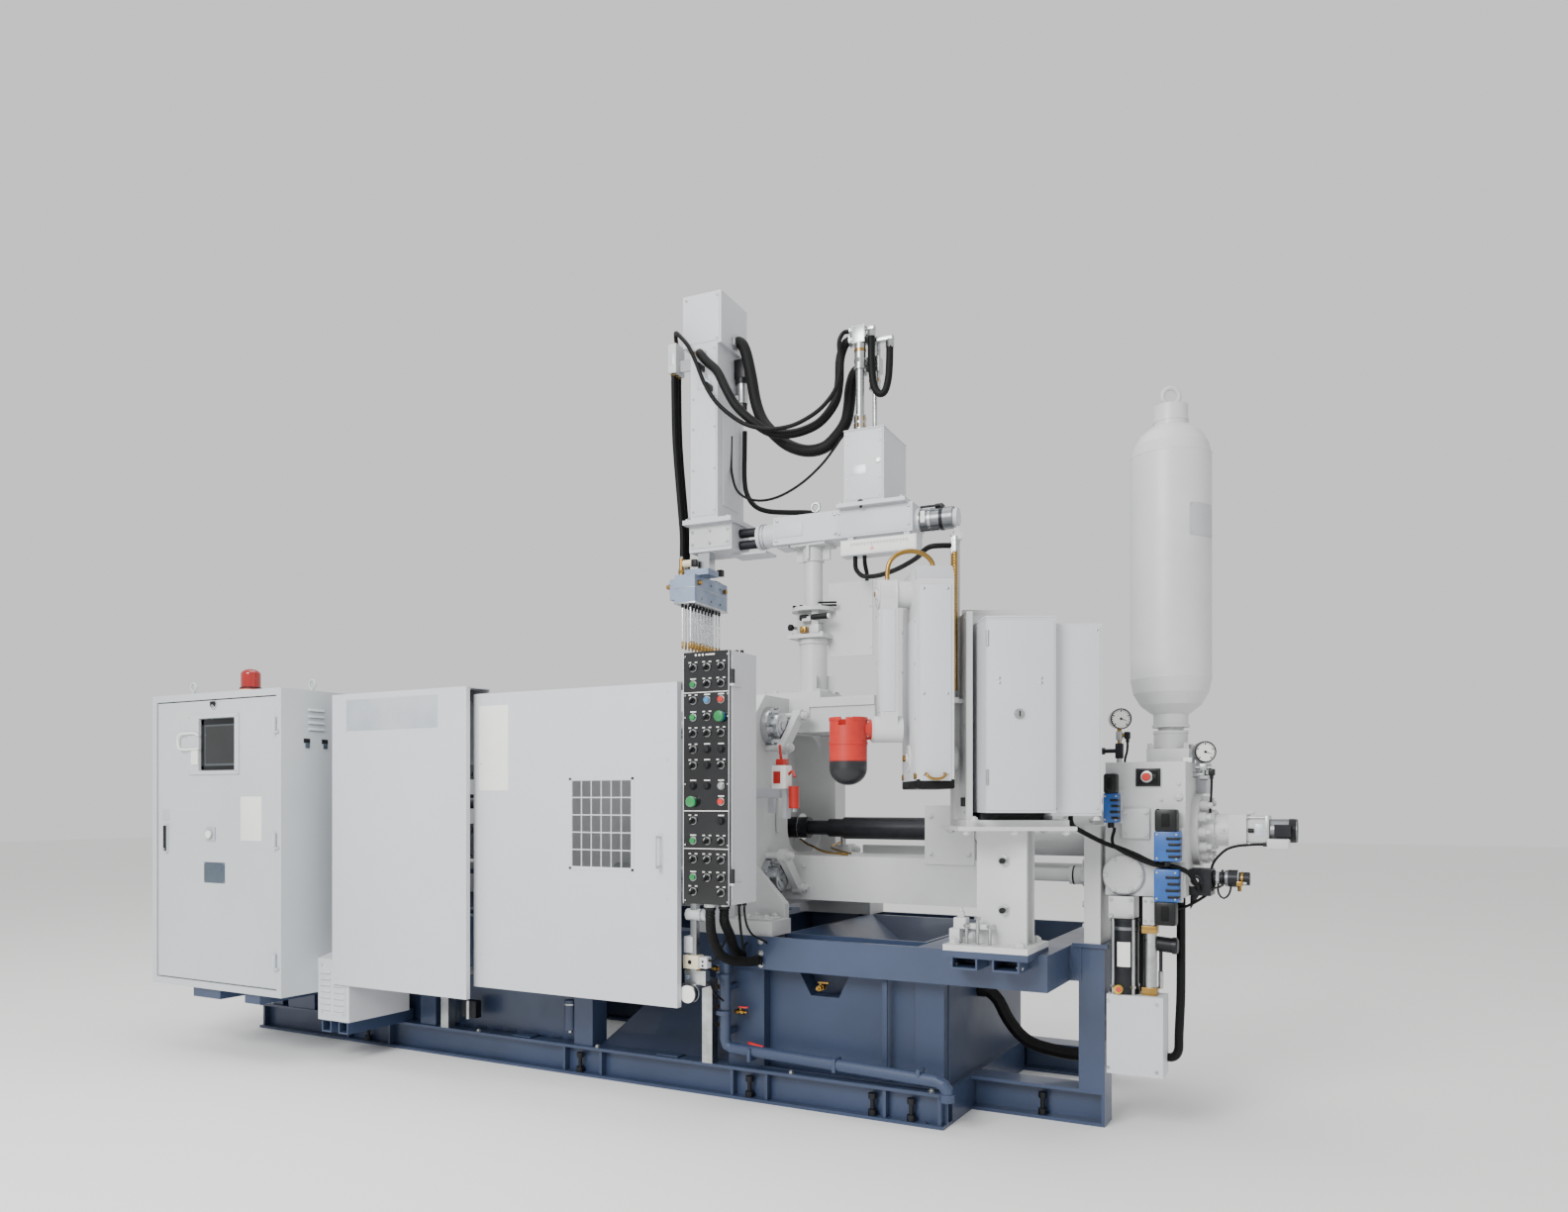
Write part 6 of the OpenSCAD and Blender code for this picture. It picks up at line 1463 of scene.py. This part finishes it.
hose(
    "ladler_feed_cable",
    [
        (1.25, -0.066, 2.1525), (1.25, -0.068, 2.135), (1.262, -0.085, 2.095), (1.32, -0.145, 2.052),
        (1.43, -0.255, 2.026), (1.56, -0.39, 2.014), (1.68, -0.52, 2.016), (1.735, -0.595, 2.022),
        (1.77, -0.622, 2.028), (1.8045, -0.611, 2.03), (1.8391, -0.591, 2.03),
    ],
    0.0095,
)
print("spray hoses done")

# Ladler, in its own frame
link = {"left": -0.325, "right": -0.203, "half": 0.15, "hub": 1.293, "top": 1.852}
box = Build(scoop)
box.block((-0.104, -0.203, 1.118), (0.109, -0.1995, 1.734), lightEnamel)
box.block((0.121, -0.153, 1.108), (0.274, -0.1495, 1.722), lightEnamel)
box.block((-0.112, -0.202, 1.7415), (0.117, 0.062, 1.747), lightEnamel)
box.turned((-0.004, -0.203, 1.43), front, [(0, 0.017), (0.003, 0.017), (0.0035, 0.013), (0.009, 0.013)], zinc, 24)
box.block((-0.006, -0.2135, 1.421), (-0.002, -0.2115, 1.439), blackSteel, 0)
box.prism(
    [
        (-0.125, 0.03, 1.7415), (-0.125, 0.03, 1.786), (-0.052, 0.03, 1.786), (-0.046, 0.03, 1.772),
        (-0.034, 0.03, 1.764), (-0.02, 0.03, 1.764), (-0.008, 0.03, 1.772), (-0.002, 0.03, 1.786),
        (0.062, 0.03, 1.786), (0.078, 0.03, 1.774), (0.078, 0.03, 1.7415),
    ],
    (0, 0.008, 0), castEnamel,
)
for z0 in (1.2, 1.65):
    box.rod((-0.1065, -0.2015, z0), (-0.1065, -0.2015, z0 + 0.05), 0.005, zinc, 12)
pair = Build(scoop)
for q in (-0.03, -0.006):
    ribbed(
        pair, [(-0.1765, q, 1.52), (-0.1765, q, 1.7), (-0.1765, q, 1.85), (-0.1765, q, 1.995)], 0.009, brass, 0.01, 14
    )
    for z0, z1, radius, finish in (
        (1.496, 1.522, 0.0098, zinc), (1.99, 2.012, 0.01, zinc), (2.01, 2.034, 0.0072, zinc),
        (2.03, 2.044, 0.0092, zinc),
    ):
        pair.rod((-0.1765, q, z0), (-0.1765, q, z1), radius, finish, 6)
pair.block((-0.1865, -0.044, 1.4795), (-0.1665, 0.008, 1.498), whitePlate, 0.003)
pair.block((-0.176, -0.034, 1.4795), (-0.1495, -0.004, 1.494), castEnamel, 0.001)
pair.block((-0.1765, -0.034, 2.034), (-0.1495, 0.09, 2.056), castEnamel, 0.002)
pair.done("ladle_conduit_pair", "machine", replaced=("ladle_conduits",))
box.block((-0.17, 0.022, 1.96), (-0.15, 0.088, 2.06), castEnamel, 0.003)
box.block((-0.169, 0.03, 1.82), (-0.1675, 0.08, 1.9), barePlate, 0.0006)
box.rod((-0.1515, -0.06, 1.13), (-0.1515, -0.06, 1.16), 0.012, blackPlastic, 16)
# dark block under the box: painted shade
box.block((-0.1, -0.08, 1.086), (0.11, 0.05, 1.111), paintedShadeInside, 0.002)
box.rod((-0.1985, 0, 1.293), (-0.196, 0, 1.293), 0.0425, linkSteel, 40)
box.done("ladler_box_fittings", "machine")
bolts(
    "ladler_box_screws", "machine",
    grid((-0.068, 0.068), (-0.203,), (1.53, 1.545), front, 0.005)
    + grid((0.13, 0.265), (-0.153,), (1.122, 1.708), front, 0.004)
    + grid((-0.1685,), (0.032, 0.078), (1.8, 1.93, 2.072), left, 0.0048)
    + grid((-0.1505,), (-0.07, 0.09), (1.11, 1.4, 1.6, 1.76), left, 0.0055),
    zinc, "pan", scoop,
)
limb = Build(scoop)
x0, x1, half = link["left"], link["right"], link["half"]
limb.block((x0 - 0.003, -half + 0.01, 1.215), (x0 + 0.001, half - 0.01, 1.755), lightEnamel)
limb.block((x0 + 0.01, -half - 0.003, 1.215), (x1 - 0.01, -half + 0.001, 1.858), lightEnamel)
limb.block((x0 + 0.01, half - 0.001, 1.215), (x1 - 0.01, half + 0.003, 1.858), lightEnamel)
# wedge on the link's top, coloured as painted shade
limb.prism(
    [(x0 - 0.001, -half - 0.001, 1.8795), (x0 - 0.001, -half + 0.03, 1.8795), (x0 - 0.001, -half + 0.03, 1.9235)],
    (x1 - x0 + 0.002, 0, 0), paintedShadeEnamel, 0.001,
)
limb.block((x0 - 0.002, -half - 0.002, 1.188), (x1 + 0.002, half + 0.002, 1.221), rubber, 0.006)
for z0, y0 in ((1.208, -0.135), (1.208, 0.115)):
    limb.rod((x0 - 0.008, y0, z0 + 0.022), (x0, y0, z0 + 0.022), 0.011, brass, 6)
limb.turned(
    (x0 - 0.0005, 0, link["hub"]), left,
    [(0, 0.046), (0.006, 0.046), (0.008, 0.044), (0.0085, 0.016), (0.014, 0.015)], castEnamel, 40,
)
limb.turned((x0 - 0.014, 0, link["hub"]), left, [(0, 0.011), (0.008, 0.011), (0.01, 0.008)], brass, 6)
limb.turned(
    (x1 - 0.0005, 0, link["top"]), right,
    [(0, 0.046), (0.006, 0.046), (0.008, 0.044), (0.0085, 0.014), (0.013, 0.013)], castEnamel, 40,
)
limb.turned((x1 + 0.012, 0, link["top"]), right, [(0, 0.01), (0.007, 0.01), (0.009, 0.007)], brass, 6)
limb.pipe(
    [
        (x0 + 0.03, -half - 0.002, 1.238), (x0 + 0.03, -half - 0.014, 1.234), (x0 + 0.045, -half - 0.018, 1.222),
        (x0 + 0.075, -half - 0.018, 1.222), (x0 + 0.09, -half - 0.014, 1.234), (x0 + 0.09, -half - 0.002, 1.238),
    ],
    0.005, brass, 10,
)
limb.done("ladle_link_fittings", "ladle_link")
bolts(
    "ladle_link_screws", "ladle_link",
    grid((x0 - 0.003,), (-0.13, 0.13), (1.235, 1.42, 1.6, 1.74), left, 0.005)
    + grid((x0 + 0.022, x1 - 0.022), (-half - 0.003,), (1.235, 1.5, 1.845), front, 0.005)
    + grid((x0 + 0.022, x1 - 0.022), (half + 0.003,), (1.235, 1.5, 1.845), back, 0.005)
    + ring((x0 - 0.008, 0, link["hub"]), 0.032, 6, left, 0.004)
    + ring((x1 + 0.008, 0, link["top"]), 0.032, 6, right, 0.004),
    zinc, "pan", scoop,
)
arm = {"left": -0.43, "right": -0.372, "low": 1.392}
fore = Build(scoop)
fore.block((arm["left"] - 0.0025, -0.036, 1.45), (arm["left"] + 0.001, 0.036, 1.795), lightEnamel)
fore.block((arm["left"] + 0.008, -0.0475, 1.45), (arm["right"] - 0.008, -0.0445, 1.795), lightEnamel)
for z0, x0, reach in ((link["top"], arm["left"], 0.052), (arm["low"], arm["left"] - 0.02, 0.046)):
    fore.turned(
        (x0 - 0.0005, 0, z0), left,
        [(0, reach - 0.004), (0.004, reach - 0.004), (0.006, reach - 0.007), (0.0065, 0.018), (0.0115, 0.017)],
        castEnamel, 40,
    )
    fore.turned((x0 - 0.0115, 0, z0), left, [(0, 0.009), (0.0035, 0.009), (0.0045, 0.007)], brass, 6)
fore.turned(
    (arm["right"] + 0.0005, 0, link["top"]), left, [(0, 0.0515), (0.006, 0.0515), (0.008, 0.05)], castEnamel, 40
)
fore.done("ladle_arm_fittings", "ladle_forearm")
bolts(
    "ladle_arm_screws", "ladle_forearm",
    grid((arm["left"] - 0.0025,), (-0.027, 0.027), (1.465, 1.62, 1.78), left, 0.0042)
    + ring((arm["left"] - 0.006, 0, link["top"]), 0.036, 6, left, 0.0042),
    zinc, "pan", scoop,
)
arch = [
    (-0.245, 0, 1.9245), (-0.245, 0, 1.94), (-0.25, 0, 1.965), (-0.278, 0, 1.99), (-0.322, 0, 2.0), (-0.364, 0, 1.99),
    (-0.391, 0, 1.965), (-0.4, 0, 1.935), (-0.401, 0, 1.9015),
]
crossing = ("ladle_link", "ladle_forearm", scoop @ Vector((-0.29, 0, 1.95)), scoop @ Vector((-0.36, 0, 1.95)))
hose("ladle_arm_conduit", [scoop @ Vector(p) for p in arch], 0.008, brass, crossing=crossing)
cup = {"middle": -0.534, "facets": 48, "spout": (-2.2, -1.5)}
bowl = Build(scoop)
for r0, r1, z0, z1 in ((0.0585, 0.0665, 1.421, 1.432), (0.064, 0.0665, 1.34, 1.348)):  # rim and lower band
    for i in range(cup["facets"]):
        a, b = 2 * math.pi * i / cup["facets"], 2 * math.pi * (i + 1) / cup["facets"]
        if z0 < 1.4 or not cup["spout"][0] < (a if a < math.pi else a - 2 * math.pi) < cup["spout"][1]:
            spots = [(r0, a), (r1, a), (r1, b), (r0, b)]
            outline = [(cup["middle"] + r * math.cos(c), r * math.sin(c), z0) for r, c in spots]
            bowl.prism(outline, (0, 0, z1 - z0), redEnamel)
bowl.block((-0.4725, -0.018, 1.372), (-0.4655, 0.018, 1.412), zinc, 0.002)
bowl.done("ladle_rim_and_lug", "ladle")
bolts("ladle_lug_bolts", "ladle", grid((-0.469,), (-0.024, 0.024), (1.368, 1.416), left, 0.004), zinc, "cap", scoop)
print("ladler done")

for head in heads.values():
    bpy.data.objects.remove(head)
print("pieces done")
